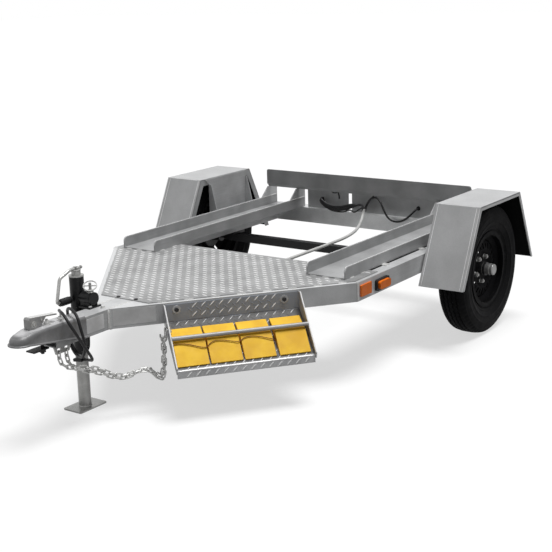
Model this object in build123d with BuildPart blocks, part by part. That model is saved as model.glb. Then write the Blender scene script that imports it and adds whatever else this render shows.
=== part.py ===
from build123d import *
from math import atan, ceil, cos, degrees, pi, radians, sin, sqrt, tan
import os

# A small single-axle trailer for carrying one portable toilet.
#
# The toilet's base slides on two open channels. An A-shaped tongue carries a tread-plate deck, a
# wheel-chock rack, a ball coupler and a swivel jack. All sizes are in millimetres. +X points forward
# to the coupler, +Y to the trailer's left, +Z up. The origin is on the ground, on the centreline,
# midway between the coupler's nose and the frame's rear face.

os.makedirs("parts", exist_ok=True)

# ---------------------------------------------------------------- driving dimensions
# Overall reach, measured along X from the axle
nose_reach = 2031.0
tail_reach = 398.0

# Frame tubes
tube_size = 76.2
tube_wall = 4.8
frame_half_width = 634.0
corner_ahead = 840.0
a_frame_front_ahead = 1597.25

# Deck
deck_thickness = 3.2
deck_inset = 17.0
deck_front_ahead = 1468.0
deck_rear_ahead = 658.0

# Skid channels
channel_inner = 395.5
channel_outer = 577.0
channel_height = 50.0
channel_wall = 5.0
channel_overlap = 180.0
channel_tail_ahead = -347.0
flange_corner_radius = 18.0

# Backstop
beam_face_ahead = -267.0
beam_bottom_rise = 100.0
beam_lip = 16.0
beam_height = 74.0
beam_thickness = 6.0
beam_corner_radius = 10.0
gusset_foot_ahead = -211.0
lamp_plate_thickness = 4.0
lamp_plate_gap = 20.0
lamp_plate_split = -123.0

# Wheels
tyre_radius = 286.0
tyre_width = 133.0
carcass = 9.0
wheel_offset = 110.5
bead_radius = 152.4
rim_flange = 16.1
rim_width = 102.0
rim_sheet = 3.5
hub_radius = 66.0
hub_barrel_radius = 31.0
cap_radius = 25.0
cap_reach = 77.5

# Axle
axle_size = 38.0
spindle_radius = 15.0
saddle_height = 17.0
saddle_length = 90.0
saddle_inset = 10.0

# Fenders
fender_width = 207.0
fender_sheet = 3.0
fender_gap = 28.0
fender_top_inset = 85.0
fender_foot_spread = 75.0
fender_foot_drop = 13.5
fender_outer_lip = 15.0
fender_inner_lip = 30.0
bracket_sheet = 6.0
bracket_front_ahead = 140.0
bracket_rear_ahead = -158.0
bracket_gusset_sheet = 4.0
bracket_gusset_foot = 50.0
bracket_gusset_tip = 10.0

# Coupler
ball_radius = 25.4
ball_clearance = 0.8
coupler_sheet = 4.0
coupler_fit = 0.4
coupler_length = 315.0
coupler_lip = 5.0
tongue_in_coupler = 144.0

# Jack
jack_ahead = 1606.0
jack_side = 104.0
jack_tube_radius = 27.0
jack_tube_wall = 3.0
jack_tube_rise = 75.0
jack_tube_drop = 208.0
jack_swing_gap = 6.4
jack_leg_clearance = 0.5
jack_leg_wall = 3.0
jack_foot_length = 140.0
jack_foot_width = 90.0
jack_foot_corner = 6.0
jack_foot_thickness = 6.0
jack_leg_overlap = 58.0
pivot_clearance = 0.3
crank_radius = 5.0
crank_overhang = 25.0

# Chock rack, measured in a frame that lies along the left A-tube's outer face
rack_start = 240.0
rack_length = 518.0
rack_sheet = 3.2
rack_top_drop = 7.0
rack_bend_drop = 75.0
rack_depth = 185.0
rack_floor_angle = 35.3
rack_lip = 26.0
rack_side_sheet = 4.0
rack_bar_radius = 8.0
rack_bar_along = 108.0
rack_bar_height = 36.0
chock_width = 118.0
chock_back = 42.0
chock_ridge = 122.0
chock_front = 212.0
chock_height = 25.0
chock_edge = 5.0

# Side lights
reflector_ahead = 783.0
reflector_size = (80.0, 46.0, 6.0)
reflector_corner = 3.0
marker_ahead = 660.0
marker_base_size = (100.0, 46.0, 10.0)
marker_lens_size = (82.0, 32.0, 12.0)
marker_corner = 10.0

# Tail lights
tail_lamp_length = 166.0
tail_lamp_height = 56.0
tail_lamp_depth = 18.0
tail_lamp_left = 291.0
tail_lamp_right = -255.0
plate_width = 305.0
plate_height = 152.0
plate_sheet = 1.5
plate_centre = 45.0
plate_corner = 10.0
plate_rise = 2.0

# ---------------------------------------------------------------- derived places
axle_x = (tail_reach - nose_reach) / 2
frame_bottom = tyre_radius + axle_size / 2 + saddle_height
frame_top = frame_bottom + tube_size
deck_top = frame_top + deck_thickness
channel_top = deck_top + channel_height
beam_bottom = deck_top + beam_bottom_rise
beam_fold = beam_bottom + beam_lip
beam_top = beam_fold + beam_height
tongue_half = tube_size / 2
rail_inner = frame_half_width - tube_size
a_rad = atan((frame_half_width - tongue_half) / (a_frame_front_ahead - corner_ahead))
rim_lip_radius = bead_radius + rim_flange
wheel_plane = frame_half_width + wheel_offset
cap_tip = wheel_plane + cap_reach
fender_top = 2 * tyre_radius + fender_gap
fender_foot = tyre_radius - fender_foot_drop
fender_top_half = tyre_radius - fender_top_inset
fender_foot_half = tyre_radius + fender_foot_spread
jack_pivot_height = frame_top + jack_tube_radius + jack_swing_gap
jack_tube_top = jack_pivot_height + jack_tube_rise
jack_tube_bottom = jack_pivot_height - jack_tube_drop
sides = {"left": 1, "right": -1}


def ahead(distance):
    """The X coordinate of a place that lies this far ahead of the axle."""
    return axle_x + distance


def a_line(inset):
    """The X where the A-tube's outer line, moved inwards, meets the frame's side line moved too."""
    return ahead(corner_ahead) - inset * tan(a_rad / 2)


def a_line_x(inset, y):
    """The X on the A-tube's outer line, moved inwards by inset, at a given distance from centre."""
    return a_line(inset) + (frame_half_width - inset - y) / tan(a_rad)


def place(name, part):
    """Labels a finished piece and writes it."""
    part.label = name
    export_step(part, "parts/" + name + ".step")


# The frame that lies along an A-tube: x runs forward along its outer face, y outwards, z up
rack_plane = Plane(
    origin=(ahead(corner_ahead), frame_half_width, 0),
    x_dir=(cos(a_rad), -sin(a_rad), 0),
    z_dir=(0, 0, 1),
)

# ---------------------------------------------------------------- frame tubes
tongue_rear = ahead(deck_rear_ahead) + tube_size
tongue_front = ahead(nose_reach - coupler_length + tongue_in_coupler)
with BuildPart() as tongue_tube:
    with BuildSketch(Plane.YZ.offset(tongue_rear)):
        with Locations((0, frame_bottom + tube_size / 2)):
            Rectangle(tube_size, tube_size)
            Rectangle(tube_size - 2 * tube_wall, tube_size - 2 * tube_wall, mode=Mode.SUBTRACT)
    extrude(amount=tongue_front - tongue_rear)
place("tongue_tube", tongue_tube.part)

for side, sign in sides.items():
    with BuildPart() as a_frame_tube:
        with BuildSketch(Plane.XY.offset(frame_bottom)):
            with BuildLine():
                Polyline(
                    (a_line(0), sign * frame_half_width),
                    (a_line_x(0, tongue_half), sign * tongue_half),
                    (a_line_x(tube_size, tongue_half), sign * tongue_half),
                    (a_line(tube_size), sign * rail_inner),
                    close=True,
                )
            make_face()
        extrude(amount=tube_size)
        with BuildSketch(Plane.XY.offset(frame_bottom + tube_wall)):
            with BuildLine():
                outer_y = frame_half_width - tube_wall
                inner_y = rail_inner + tube_wall
                Polyline(
                    (a_line(tube_wall), sign * outer_y),
                    (a_line_x(tube_wall, tongue_half), sign * tongue_half),
                    (a_line_x(tube_size - tube_wall, tongue_half), sign * tongue_half),
                    (a_line(tube_size - tube_wall), sign * inner_y),
                    close=True,
                )
            make_face()
        extrude(amount=tube_size - 2 * tube_wall, mode=Mode.SUBTRACT)
    place("a_frame_tube_" + side, a_frame_tube.part)

    with BuildPart() as side_rail:
        with BuildSketch(Plane.XY.offset(frame_bottom)):
            with BuildLine():
                Polyline(
                    (ahead(-tail_reach), sign * frame_half_width),
                    (a_line(0), sign * frame_half_width),
                    (a_line(tube_size), sign * rail_inner),
                    (ahead(-tail_reach), sign * rail_inner),
                    close=True,
                )
            make_face()
        extrude(amount=tube_size)
        with BuildSketch(Plane.XY.offset(frame_bottom + tube_wall)):
            with BuildLine():
                Polyline(
                    (ahead(-tail_reach) + tube_wall, sign * (frame_half_width - tube_wall)),
                    (a_line(tube_wall), sign * (frame_half_width - tube_wall)),
                    (a_line(tube_size - tube_wall), sign * (rail_inner + tube_wall)),
                    (ahead(-tail_reach) + tube_wall, sign * (rail_inner + tube_wall)),
                    close=True,
                )
            make_face()
        extrude(amount=tube_size - 2 * tube_wall, mode=Mode.SUBTRACT)
    place("side_rail_" + side, side_rail.part)

for name, rear in (("deck_cross_member", deck_rear_ahead), ("rear_cross_member", -tail_reach)):
    with BuildPart() as cross_member:
        with BuildSketch(Plane.XZ.offset(-rail_inner)):
            with Locations((ahead(rear) + tube_size / 2, frame_bottom + tube_size / 2)):
                Rectangle(tube_size, tube_size)
                Rectangle(tube_size - 2 * tube_wall, tube_size - 2 * tube_wall, mode=Mode.SUBTRACT)
        extrude(amount=2 * rail_inner)
    place(name, cross_member.part)

# ---------------------------------------------------------------- deck
with BuildPart() as deck_plate:
    with BuildSketch(Plane.XY.offset(frame_top)):
        deck_side = frame_half_width - deck_inset
        front_rise = (ahead(deck_front_ahead) - a_line(deck_inset)) * tan(a_rad)
        with BuildLine():
            Polyline(
                (ahead(deck_rear_ahead), deck_side),
                (a_line(deck_inset), deck_side),
                (ahead(deck_front_ahead), deck_side - front_rise),
                (ahead(deck_front_ahead), front_rise - deck_side),
                (a_line(deck_inset), -deck_side),
                (ahead(deck_rear_ahead), -deck_side),
                close=True,
            )
        make_face()
    extrude(amount=deck_thickness)
place("deck_plate", deck_plate.part)

# ---------------------------------------------------------------- skid channels
channel_front = ahead(deck_rear_ahead + channel_overlap)
channel_length = channel_front - ahead(channel_tail_ahead)
channel_width = channel_outer - channel_inner
for side, sign in sides.items():
    with BuildPart() as skid_channel:
        with BuildSketch(Plane.YZ.offset(ahead(channel_tail_ahead))):
            with Locations((sign * (channel_inner + channel_outer) / 2, deck_top + channel_height / 2)):
                Rectangle(channel_width, channel_height)
            with Locations((sign * (channel_inner + channel_outer) / 2, channel_top)):
                Rectangle(
                    channel_width - 2 * channel_wall,
                    2 * (channel_height - channel_wall),
                    mode=Mode.SUBTRACT,
                )
        extrude(amount=channel_length)
        front_corners = skid_channel.edges().filter_by(Axis.Y).group_by(Axis.X)[-1].group_by(Axis.Z)[-1]
        fillet(front_corners, flange_corner_radius)
    place("skid_channel_" + side, skid_channel.part)

# ---------------------------------------------------------------- backstop
beam_x = ahead(beam_face_ahead)
with BuildPart() as backstop_beam:
    with BuildSketch(Plane.XZ.offset(-channel_outer)):
        with BuildLine():
            Polyline(
                (beam_x, beam_top),
                (beam_x, beam_fold),
                (beam_x - beam_lip, beam_bottom),
                (beam_x - beam_lip - beam_thickness * sqrt(2), beam_bottom),
                (beam_x - beam_thickness, beam_fold + beam_thickness * tan(pi / 8)),
                (beam_x - beam_thickness, beam_top),
                close=True,
            )
        make_face()
    extrude(amount=2 * channel_outer)
    fillet(backstop_beam.edges().filter_by(Axis.X).group_by(Axis.Z)[-1], beam_corner_radius)
place("backstop_beam", backstop_beam.part)

# Gussets rise from the tops of the channel flanges and back up the beam
tail_x = ahead(channel_tail_ahead)
gusset_foot_x = ahead(gusset_foot_ahead)
for side, sign in sides.items():
    with BuildPart() as beam_gussets:
        for face in (channel_inner, channel_outer - channel_wall):
            with BuildSketch(Plane.XZ.offset(-max(sign * face, sign * (face + channel_wall)))):
                with BuildLine():
                    Polyline(
                        (tail_x, channel_top),
                        (gusset_foot_x, channel_top),
                        (beam_x, beam_bottom),
                        (beam_x - beam_lip - beam_thickness * sqrt(2), beam_bottom),
                        (beam_x - beam_thickness, beam_fold + beam_thickness * tan(pi / 8)),
                        (beam_x - beam_thickness, beam_top - beam_corner_radius),
                        (tail_x, beam_bottom),
                        close=True,
                    )
                make_face()
            extrude(amount=channel_wall)
    place("beam_gussets_" + side, beam_gussets.part)

# Upright plates close the frame's tail between the inner gussets
plate_edge = channel_inner - lamp_plate_gap + channel_wall / 2
with BuildPart() as lamp_plates:
    for low, high in ((-plate_edge, lamp_plate_split - lamp_plate_gap / 2),
                      (lamp_plate_split + lamp_plate_gap / 2, plate_edge)):
        with BuildSketch(Plane.XY.offset(frame_top)):
            with Locations((tail_x - lamp_plate_thickness / 2, (low + high) / 2)):
                Rectangle(lamp_plate_thickness, high - low)
        extrude(amount=beam_bottom - frame_top)
place("lamp_plates", lamp_plates.part)

# ---------------------------------------------------------------- fenders
fender_inner = frame_half_width + bracket_sheet
fender_outer = fender_inner + fender_width


def arch_points(inset):
    """The fender's side outline, moved inwards by inset, from its front foot to its rear foot."""
    slope = (fender_foot_half - fender_top_half) / (fender_top - fender_foot)
    lean = inset * sqrt(1 + slope * slope)
    foot = fender_foot_half - lean
    top = fender_top_half - lean + slope * inset
    return [
        (ahead(foot), fender_foot),
        (ahead(top), fender_top - inset),
        (ahead(-top), fender_top - inset),
        (ahead(-foot), fender_foot),
    ]


for side, sign in sides.items():
    with BuildPart() as fender:
        for depth, low, high in (
            (fender_sheet, fender_inner, fender_outer),
            (fender_inner_lip, fender_inner, fender_inner + fender_sheet),
            (fender_outer_lip, fender_outer - fender_sheet, fender_outer),
        ):
            with BuildSketch(Plane.XZ.offset(-max(sign * low, sign * high))):
                with BuildLine():
                    Polyline(*arch_points(0), *reversed(arch_points(depth)), close=True)
                make_face()
            extrude(amount=high - low)
    place("fender_" + side, fender.part)

    bracket_top = fender_top - fender_sheet
    with BuildPart() as fender_bracket:
        with BuildSketch(Plane.XZ.offset(-max(sign * frame_half_width, sign * fender_inner))):
            with BuildLine():
                Polyline(
                    (ahead(bracket_rear_ahead), frame_bottom + tube_wall),
                    (ahead(bracket_front_ahead), frame_bottom + tube_wall),
                    (ahead(bracket_front_ahead), fender_top - fender_inner_lip),
                    (ahead(fender_top_half - fender_inner_lip), bracket_top),
                    (ahead(fender_inner_lip - fender_top_half), bracket_top),
                    (ahead(bracket_rear_ahead), fender_top - fender_inner_lip),
                    close=True,
                )
            make_face()
        extrude(amount=bracket_sheet)
        for front in (bracket_front_ahead, bracket_rear_ahead + bracket_gusset_sheet):
            with BuildSketch(Plane.YZ.offset(ahead(front) - bracket_gusset_sheet)):
                with BuildLine():
                    Polyline(
                        (sign * frame_half_width, frame_top),
                        (sign * (frame_half_width - bracket_gusset_foot), frame_top),
                        (sign * (frame_half_width - bracket_gusset_tip), fender_top - fender_inner_lip),
                        (sign * frame_half_width, fender_top - fender_inner_lip),
                        close=True,
                    )
                make_face()
            extrude(amount=bracket_gusset_sheet)
    place("fender_bracket_" + side, fender_bracket.part)

# ---------------------------------------------------------------- axle
axle_end = frame_half_width + 8
spindle_collar = 12.0
spindle_step = 22.0
spindle_reach = 50.0
with BuildPart() as axle_tube:
    with BuildSketch(Plane.XZ.offset(-axle_end)):
        with Locations((axle_x, tyre_radius)):
            Rectangle(axle_size, axle_size)
            Rectangle(axle_size - 2 * tube_wall, axle_size - 2 * tube_wall, mode=Mode.SUBTRACT)
    extrude(amount=2 * axle_end)

spindle_tip = wheel_plane + spindle_reach
with BuildPart() as spindle:
    with BuildSketch(Plane.XY):
        with BuildLine():
            Polyline(
                (0, axle_end),
                (axle_size / 2, axle_end),
                (axle_size / 2, axle_end + spindle_collar),
                (spindle_radius, axle_end + spindle_step),
                (spindle_radius, spindle_tip),
                (0, spindle_tip),
                close=True,
            )
        make_face()
    revolve(axis=Axis.Y)
with BuildPart() as axle:
    add(axle_tube.part)
    with Locations((axle_x, 0, tyre_radius)):
        add(spindle.part)
    mirror(about=Plane.XZ)
place("axle", axle.part)

saddle_side = frame_half_width - tube_size / 2
with BuildPart() as axle_saddles:
    with BuildSketch(Plane.XY.offset(tyre_radius + axle_size / 2)):
        with Locations((axle_x, saddle_side), (axle_x, -saddle_side)):
            Rectangle(saddle_length, tube_size - 2 * saddle_inset)
    extrude(amount=saddle_height)
place("axle_saddles", axle_saddles.part)

# ---------------------------------------------------------------- wheels, hubs and spindles
hub_bore_clearance = 0.4
disc_offset = 10.0
disc_outer = wheel_plane + disc_offset
disc_inner = disc_outer - rim_sheet
hub_inner = frame_half_width + 45
hub_plate = 9.0
hub_end = spindle_tip - 10
barrel_step = 3.0
cap_round = 6.0
cap_wall = 2.0
cap_face = 8.0
well_radius = bead_radius - 20
well_half = 14.0
bead_seat = 26.0
bead_slope = 8.0
rim_half = rim_width / 2
disc_bulge = 22.0
disc_rise = 15.0
disc_seat = 0.5
vent_count = 12
vent_length = 32.0
vent_width = 13.0
vent_shift = 4.0
heel_radius = rim_lip_radius + 3
belly_radius = 0.55 * rim_lip_radius + 0.45 * tyre_radius
shoulder_drop = 18.0
shoulder_half = tyre_width / 2 - 6
edge_drop = 4.0
edge_half = tyre_width / 2 - 24
tread_half = tyre_width / 2 - 46
for side, sign in sides.items():
    with BuildPart() as hub:
        with BuildSketch(Plane.XY):
            with BuildLine():
                bore = spindle_radius + hub_bore_clearance
                Polyline(
                    (bore, hub_inner),
                    (hub_barrel_radius, hub_inner),
                    (hub_barrel_radius + barrel_step, disc_inner - hub_plate),
                    (hub_radius, disc_inner - hub_plate),
                    (hub_radius, disc_inner),
                    (hub_barrel_radius, disc_inner),
                    (hub_barrel_radius - cap_wall, hub_end),
                    (bore, hub_end),
                    close=True,
                )
            make_face()
        revolve(axis=Axis.Y)
    placed = hub.part if sign > 0 else hub.part.mirror(Plane.XZ)
    place("hub_" + side, placed.moved(Location((axle_x, 0, tyre_radius))))

    with BuildPart() as hub_cap:
        with BuildSketch(Plane.XY):
            with BuildLine():
                cap_crown = (cap_radius - cap_round, cap_tip)
                cap_shoulder = (cap_radius, cap_tip - cap_round)
                Polyline((0, cap_tip), cap_crown)
                RadiusArc(cap_crown, cap_shoulder, cap_round)
                Polyline(
                    cap_shoulder,
                    (cap_radius, hub_end),
                    (cap_radius - cap_wall, hub_end),
                    (cap_radius - cap_wall, cap_tip - cap_face),
                    (0, cap_tip - cap_face),
                    (0, cap_tip),
                )
            make_face()
        revolve(axis=Axis.Y)
    placed = hub_cap.part if sign > 0 else hub_cap.part.mirror(Plane.XZ)
    place("hub_cap_" + side, placed.moved(Location((axle_x, 0, tyre_radius))))

    with BuildPart() as rim:
        with BuildSketch(Plane.XY):
            with BuildLine():
                Polyline(
                    (rim_lip_radius, wheel_plane + rim_half),
                    (rim_lip_radius, wheel_plane + rim_half - rim_sheet),
                    (bead_radius, wheel_plane + rim_half - bead_slope),
                    (bead_radius, wheel_plane + bead_seat),
                    (well_radius, wheel_plane + well_half),
                    (well_radius, wheel_plane - well_half),
                    (bead_radius, wheel_plane - bead_seat),
                    (bead_radius, wheel_plane - rim_half + bead_slope),
                    (rim_lip_radius, wheel_plane - rim_half + rim_sheet),
                    (rim_lip_radius, wheel_plane - rim_half),
                    (bead_radius - rim_sheet, wheel_plane - rim_half),
                    (bead_radius - rim_sheet, wheel_plane - bead_seat),
                    (well_radius - rim_sheet, wheel_plane - well_half),
                    (well_radius - rim_sheet, wheel_plane + well_half),
                    (bead_radius - rim_sheet, wheel_plane + bead_seat),
                    (bead_radius - rim_sheet, wheel_plane + rim_half),
                    close=True,
                )
            make_face()
            with BuildLine():
                disc_bore = hub_barrel_radius + 1
                disc_edge = well_radius - rim_sheet + disc_seat
                Polyline(
                    (disc_bore, disc_inner),
                    (hub_radius + 4, disc_inner),
                    (hub_radius + disc_bulge, disc_inner + disc_rise - 1),
                    (disc_edge - 6.5, disc_inner + 2),
                    (disc_edge, disc_inner - 14),
                    (disc_edge, disc_outer - 12),
                    (disc_edge - 4.5, disc_outer + 4),
                    (hub_radius + disc_bulge, disc_outer + disc_rise),
                    (hub_radius + 2, disc_outer),
                    (disc_bore, disc_outer),
                    close=True,
                )
            make_face()
        revolve(axis=Axis.Y)
        with BuildSketch(Plane.XZ.offset(-disc_outer - 2 * disc_rise)):
            with PolarLocations((hub_radius + well_radius) / 2 + vent_shift, vent_count):
                SlotOverall(vent_length, vent_width)
        extrude(amount=4 * disc_rise, mode=Mode.SUBTRACT)
    placed = rim.part if sign > 0 else rim.part.mirror(Plane.XZ)
    place("rim_" + side, placed.moved(Location((axle_x, 0, tyre_radius))))

    with BuildPart() as tyre:
        with BuildSketch(Plane.XY):
            with BuildLine():
                outer_side = Spline(
                    (heel_radius, wheel_plane + rim_half - rim_sheet),
                    (belly_radius, wheel_plane + tyre_width / 2),
                    (tyre_radius - shoulder_drop, wheel_plane + shoulder_half),
                    (tyre_radius - edge_drop, wheel_plane + edge_half),
                )
                inner_side = Spline(
                    (tyre_radius - edge_drop, wheel_plane - edge_half),
                    (tyre_radius - shoulder_drop, wheel_plane - shoulder_half),
                    (belly_radius, wheel_plane - tyre_width / 2),
                    (heel_radius, wheel_plane - rim_half + rim_sheet),
                )
                Polyline(
                    outer_side @ 1,
                    (tyre_radius, wheel_plane + tread_half),
                    (tyre_radius, wheel_plane - tread_half),
                    inner_side @ 0,
                )
                Polyline(
                    inner_side @ 1,
                    (bead_radius, wheel_plane - rim_half + bead_slope),
                    (bead_radius, wheel_plane + rim_half - bead_slope),
                    outer_side @ 0,
                )
            make_face()
            # The air space inside the carcass
            cavity_half = tyre_width / 2 - carcass
            with BuildLine():
                cavity_side = [
                    (bead_radius, rim_half - 24),
                    (rim_lip_radius + 12, rim_half - 16),
                    (belly_radius, cavity_half),
                    (tyre_radius - 26, cavity_half - 6),
                    (tyre_radius - 14, cavity_half - 24),
                ]
                Polyline(
                    *[(radius, wheel_plane + out) for radius, out in cavity_side],
                    *[(radius, wheel_plane - out) for radius, out in reversed(cavity_side)],
                    close=True,
                )
            make_face(mode=Mode.SUBTRACT)
        revolve(axis=Axis.Y)
    placed = tyre.part if sign > 0 else tyre.part.mirror(Plane.XZ)
    place("tyre_" + side, placed.moved(Location((axle_x, 0, tyre_radius))))

# ---------------------------------------------------------------- coupler
coupler_half = tongue_half + coupler_fit + coupler_sheet
nose_radius = 45.0
nose_x = ahead(nose_reach - nose_radius)
coupler_rear = ahead(nose_reach - coupler_length)
coupler_top = frame_top + 11
coupler_rear_top = frame_top + coupler_fit + coupler_sheet + 1
coupler_foot_rear = frame_bottom + 4
coupler_foot_nose = frame_bottom + 45
nose_taper = 60.0
nose_wall = 8.0
top_ramp = nose_x - 136
dome_start = nose_x - 28
socket_wall = 6.0
ball_centre = coupler_foot_nose + 4
space_foot = coupler_foot_nose - 10
clamp_x = nose_x - 94
chain_anchor_x = nose_x - 186


def coupler_plan(side, nose):
    """The coupler seen from above: straight sides, then a taper to a round nose."""
    with BuildSketch(Plane.XY) as plan:
        with BuildLine():
            Polyline(
                (nose_x, nose),
                (nose_x - nose_taper, side),
                (coupler_rear - coupler_sheet, side),
                (coupler_rear - coupler_sheet, -side),
                (nose_x - nose_taper, -side),
                (nose_x, -nose),
            )
            ThreePointArc((nose_x, -nose), (nose_x + nose, 0), (nose_x, nose))
        make_face()
    return plan.sketch


def coupler_block(inset, foot_rise):
    """The coupler's outer form, moved inwards by inset, with its foot raised by foot_rise."""
    nose_clear = nose_x + nose_radius - inset
    with BuildPart() as block:
        add(coupler_plan(coupler_half - inset, nose_radius - coupler_lip - inset))
        extrude(amount=2 * coupler_top)
        with BuildSketch(Plane.XZ.offset(-2 * nose_radius)):
            with BuildLine():
                Polyline(
                    (nose_clear, coupler_foot_nose + nose_wall),
                    (nose_clear, coupler_foot_nose + foot_rise),
                    (nose_x, coupler_foot_nose + foot_rise),
                    (coupler_rear - inset, coupler_foot_rear + foot_rise),
                    (coupler_rear - inset, coupler_rear_top - inset),
                    (top_ramp, coupler_top - inset),
                    (dome_start, coupler_top - inset),
                )
                TangentArc(
                    (dome_start, coupler_top - inset),
                    (nose_clear, coupler_foot_nose + nose_wall),
                    tangent=(1, 0),
                )
            make_face()
        extrude(amount=4 * nose_radius, mode=Mode.INTERSECT)
    return block.part


coupler_shell = coupler_block(0, 0)
coupler_hollow = coupler_block(coupler_sheet, -nose_taper)
with BuildPart() as coupler_rim:
    add(coupler_plan(coupler_half + coupler_lip, nose_radius))
    extrude(amount=2 * coupler_top)
    with BuildSketch(Plane.XZ.offset(-2 * nose_radius)):
        with BuildLine():
            Polyline(
                (nose_x + 2 * nose_radius, coupler_foot_nose),
                (nose_x, coupler_foot_nose),
                (coupler_rear, coupler_foot_rear),
                (coupler_rear, coupler_foot_rear + coupler_sheet),
                (nose_x, coupler_foot_nose + coupler_sheet),
                (nose_x + 2 * nose_radius, coupler_foot_nose + coupler_sheet),
                close=True,
            )
        make_face()
    extrude(amount=4 * nose_radius, mode=Mode.INTERSECT)
with BuildPart() as ball_cup:
    with BuildSketch(Plane.XY.offset(coupler_foot_nose + coupler_sheet / 2)):
        with Locations((nose_x, 0)):
            Circle(ball_radius + ball_clearance + socket_wall)
    extrude(amount=coupler_top)
    add(coupler_shell, mode=Mode.INTERSECT)
space_radius = ball_radius + ball_clearance
space_flat = 2.0
with BuildPart() as ball_space:
    with BuildSketch(Plane.XY.offset(space_foot)):
        with Locations((nose_x, 0)):
            Circle(space_radius)
    extrude(amount=ball_centre + space_radius - space_foot)
    fillet(ball_space.edges().group_by(Axis.Z)[-1], space_radius - space_flat)
with BuildPart() as ball_socket:
    add(ball_cup.part)
    add(ball_space.part, mode=Mode.SUBTRACT)
with BuildPart() as coupler_body:
    add(coupler_shell)
    add(coupler_rim.part)
    add(coupler_hollow, mode=Mode.SUBTRACT)
    add(ball_socket.part)
place("coupler_body", coupler_body.part)

# The latch lever is a pressed channel, open below, that lies back along the coupler's top
lever_front = nose_x - 31
lever_length = 129.0
lever_rear = lever_front - lever_length
lever_width = 26.0
lever_sheet = 4.0
lever_top = coupler_top + 42
lever_corner = 6.0
lever_tip = lever_top - 14
lever_foot_length = 50.0
lever_throat = 78.0
with BuildPart() as coupler_lever:
    with BuildSketch(Plane.XZ.offset(-lever_width / 2)):
        with BuildLine():
            Polyline(
                (lever_front, coupler_top),
                (lever_front - lever_foot_length, coupler_top),
                (lever_front - lever_throat, lever_top - 12),
                (lever_rear, lever_tip - lever_sheet),
                (lever_rear, lever_tip),
                (lever_front - lever_corner, lever_top),
                (lever_front, lever_top - lever_corner),
                close=True,
            )
        make_face()
    extrude(amount=lever_width)
    with BuildSketch(Plane.XZ.offset(-lever_width / 2 + lever_sheet)):
        with BuildLine():
            Polyline(
                (lever_front - lever_sheet, coupler_top),
                (lever_front - lever_foot_length - 10, coupler_top),
                (lever_front - lever_throat - 14, lever_top - 17),
                (lever_front - lever_corner - lever_sheet, lever_top - lever_sheet),
                (lever_front - lever_sheet, lever_top - lever_corner - 2),
                close=True,
            )
        make_face()
    extrude(amount=lever_width - 2 * lever_sheet, mode=Mode.SUBTRACT)
place("coupler_lever", coupler_lever.part)

# A bolt through the coupler holds the ball clamp; its nut and sleeve hang below
bolt_radius = 6.0
bolt_drop = 14.0
nut_radius = 12.0
nut_height = 12.0
nut_foot = frame_bottom - 8
clamp_length = 70.0
clamp_width = 40.0
clamp_sheet = 5.0
clamp_shift = 22.0
with BuildPart() as coupler_clamp:
    with BuildSketch(Plane.XY.offset(coupler_top - coupler_sheet)):
        with Locations((clamp_x, 0)):
            Circle(bolt_radius)
    extrude(amount=frame_bottom - bolt_drop - coupler_top + coupler_sheet)
    with BuildSketch(Plane.XY.offset(nut_foot)):
        with Locations((clamp_x, 0)):
            RegularPolygon(nut_radius, 6)
    extrude(amount=nut_height)
    with BuildSketch(Plane.XY.offset(nut_foot + nut_height)):
        with Locations((clamp_x + clamp_shift, 0)):
            Rectangle(clamp_length, clamp_width)
    extrude(amount=clamp_sheet)
place("coupler_clamp", coupler_clamp.part)

anchor_drop = 36.0
anchor_top_half = 44.0
anchor_foot_half = 32.0
anchor_sheet = 6.0
anchor_hole = 9.0
anchor_hole_spread = 18.0
anchor_hole_z = frame_bottom - 20
with BuildPart() as chain_anchor:
    with BuildSketch(Plane.XZ.offset(-anchor_sheet / 2)):
        with BuildLine():
            Polyline(
                (chain_anchor_x - anchor_top_half, frame_bottom),
                (chain_anchor_x - anchor_foot_half, frame_bottom - anchor_drop),
                (chain_anchor_x + anchor_foot_half, frame_bottom - anchor_drop),
                (chain_anchor_x + anchor_top_half, frame_bottom),
                close=True,
            )
        make_face()
        with Locations(
            (chain_anchor_x - anchor_hole_spread, anchor_hole_z),
            (chain_anchor_x + anchor_hole_spread, anchor_hole_z),
        ):
            Circle(anchor_hole, mode=Mode.SUBTRACT)
    extrude(amount=anchor_sheet)
place("chain_anchor", chain_anchor.part)

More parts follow.
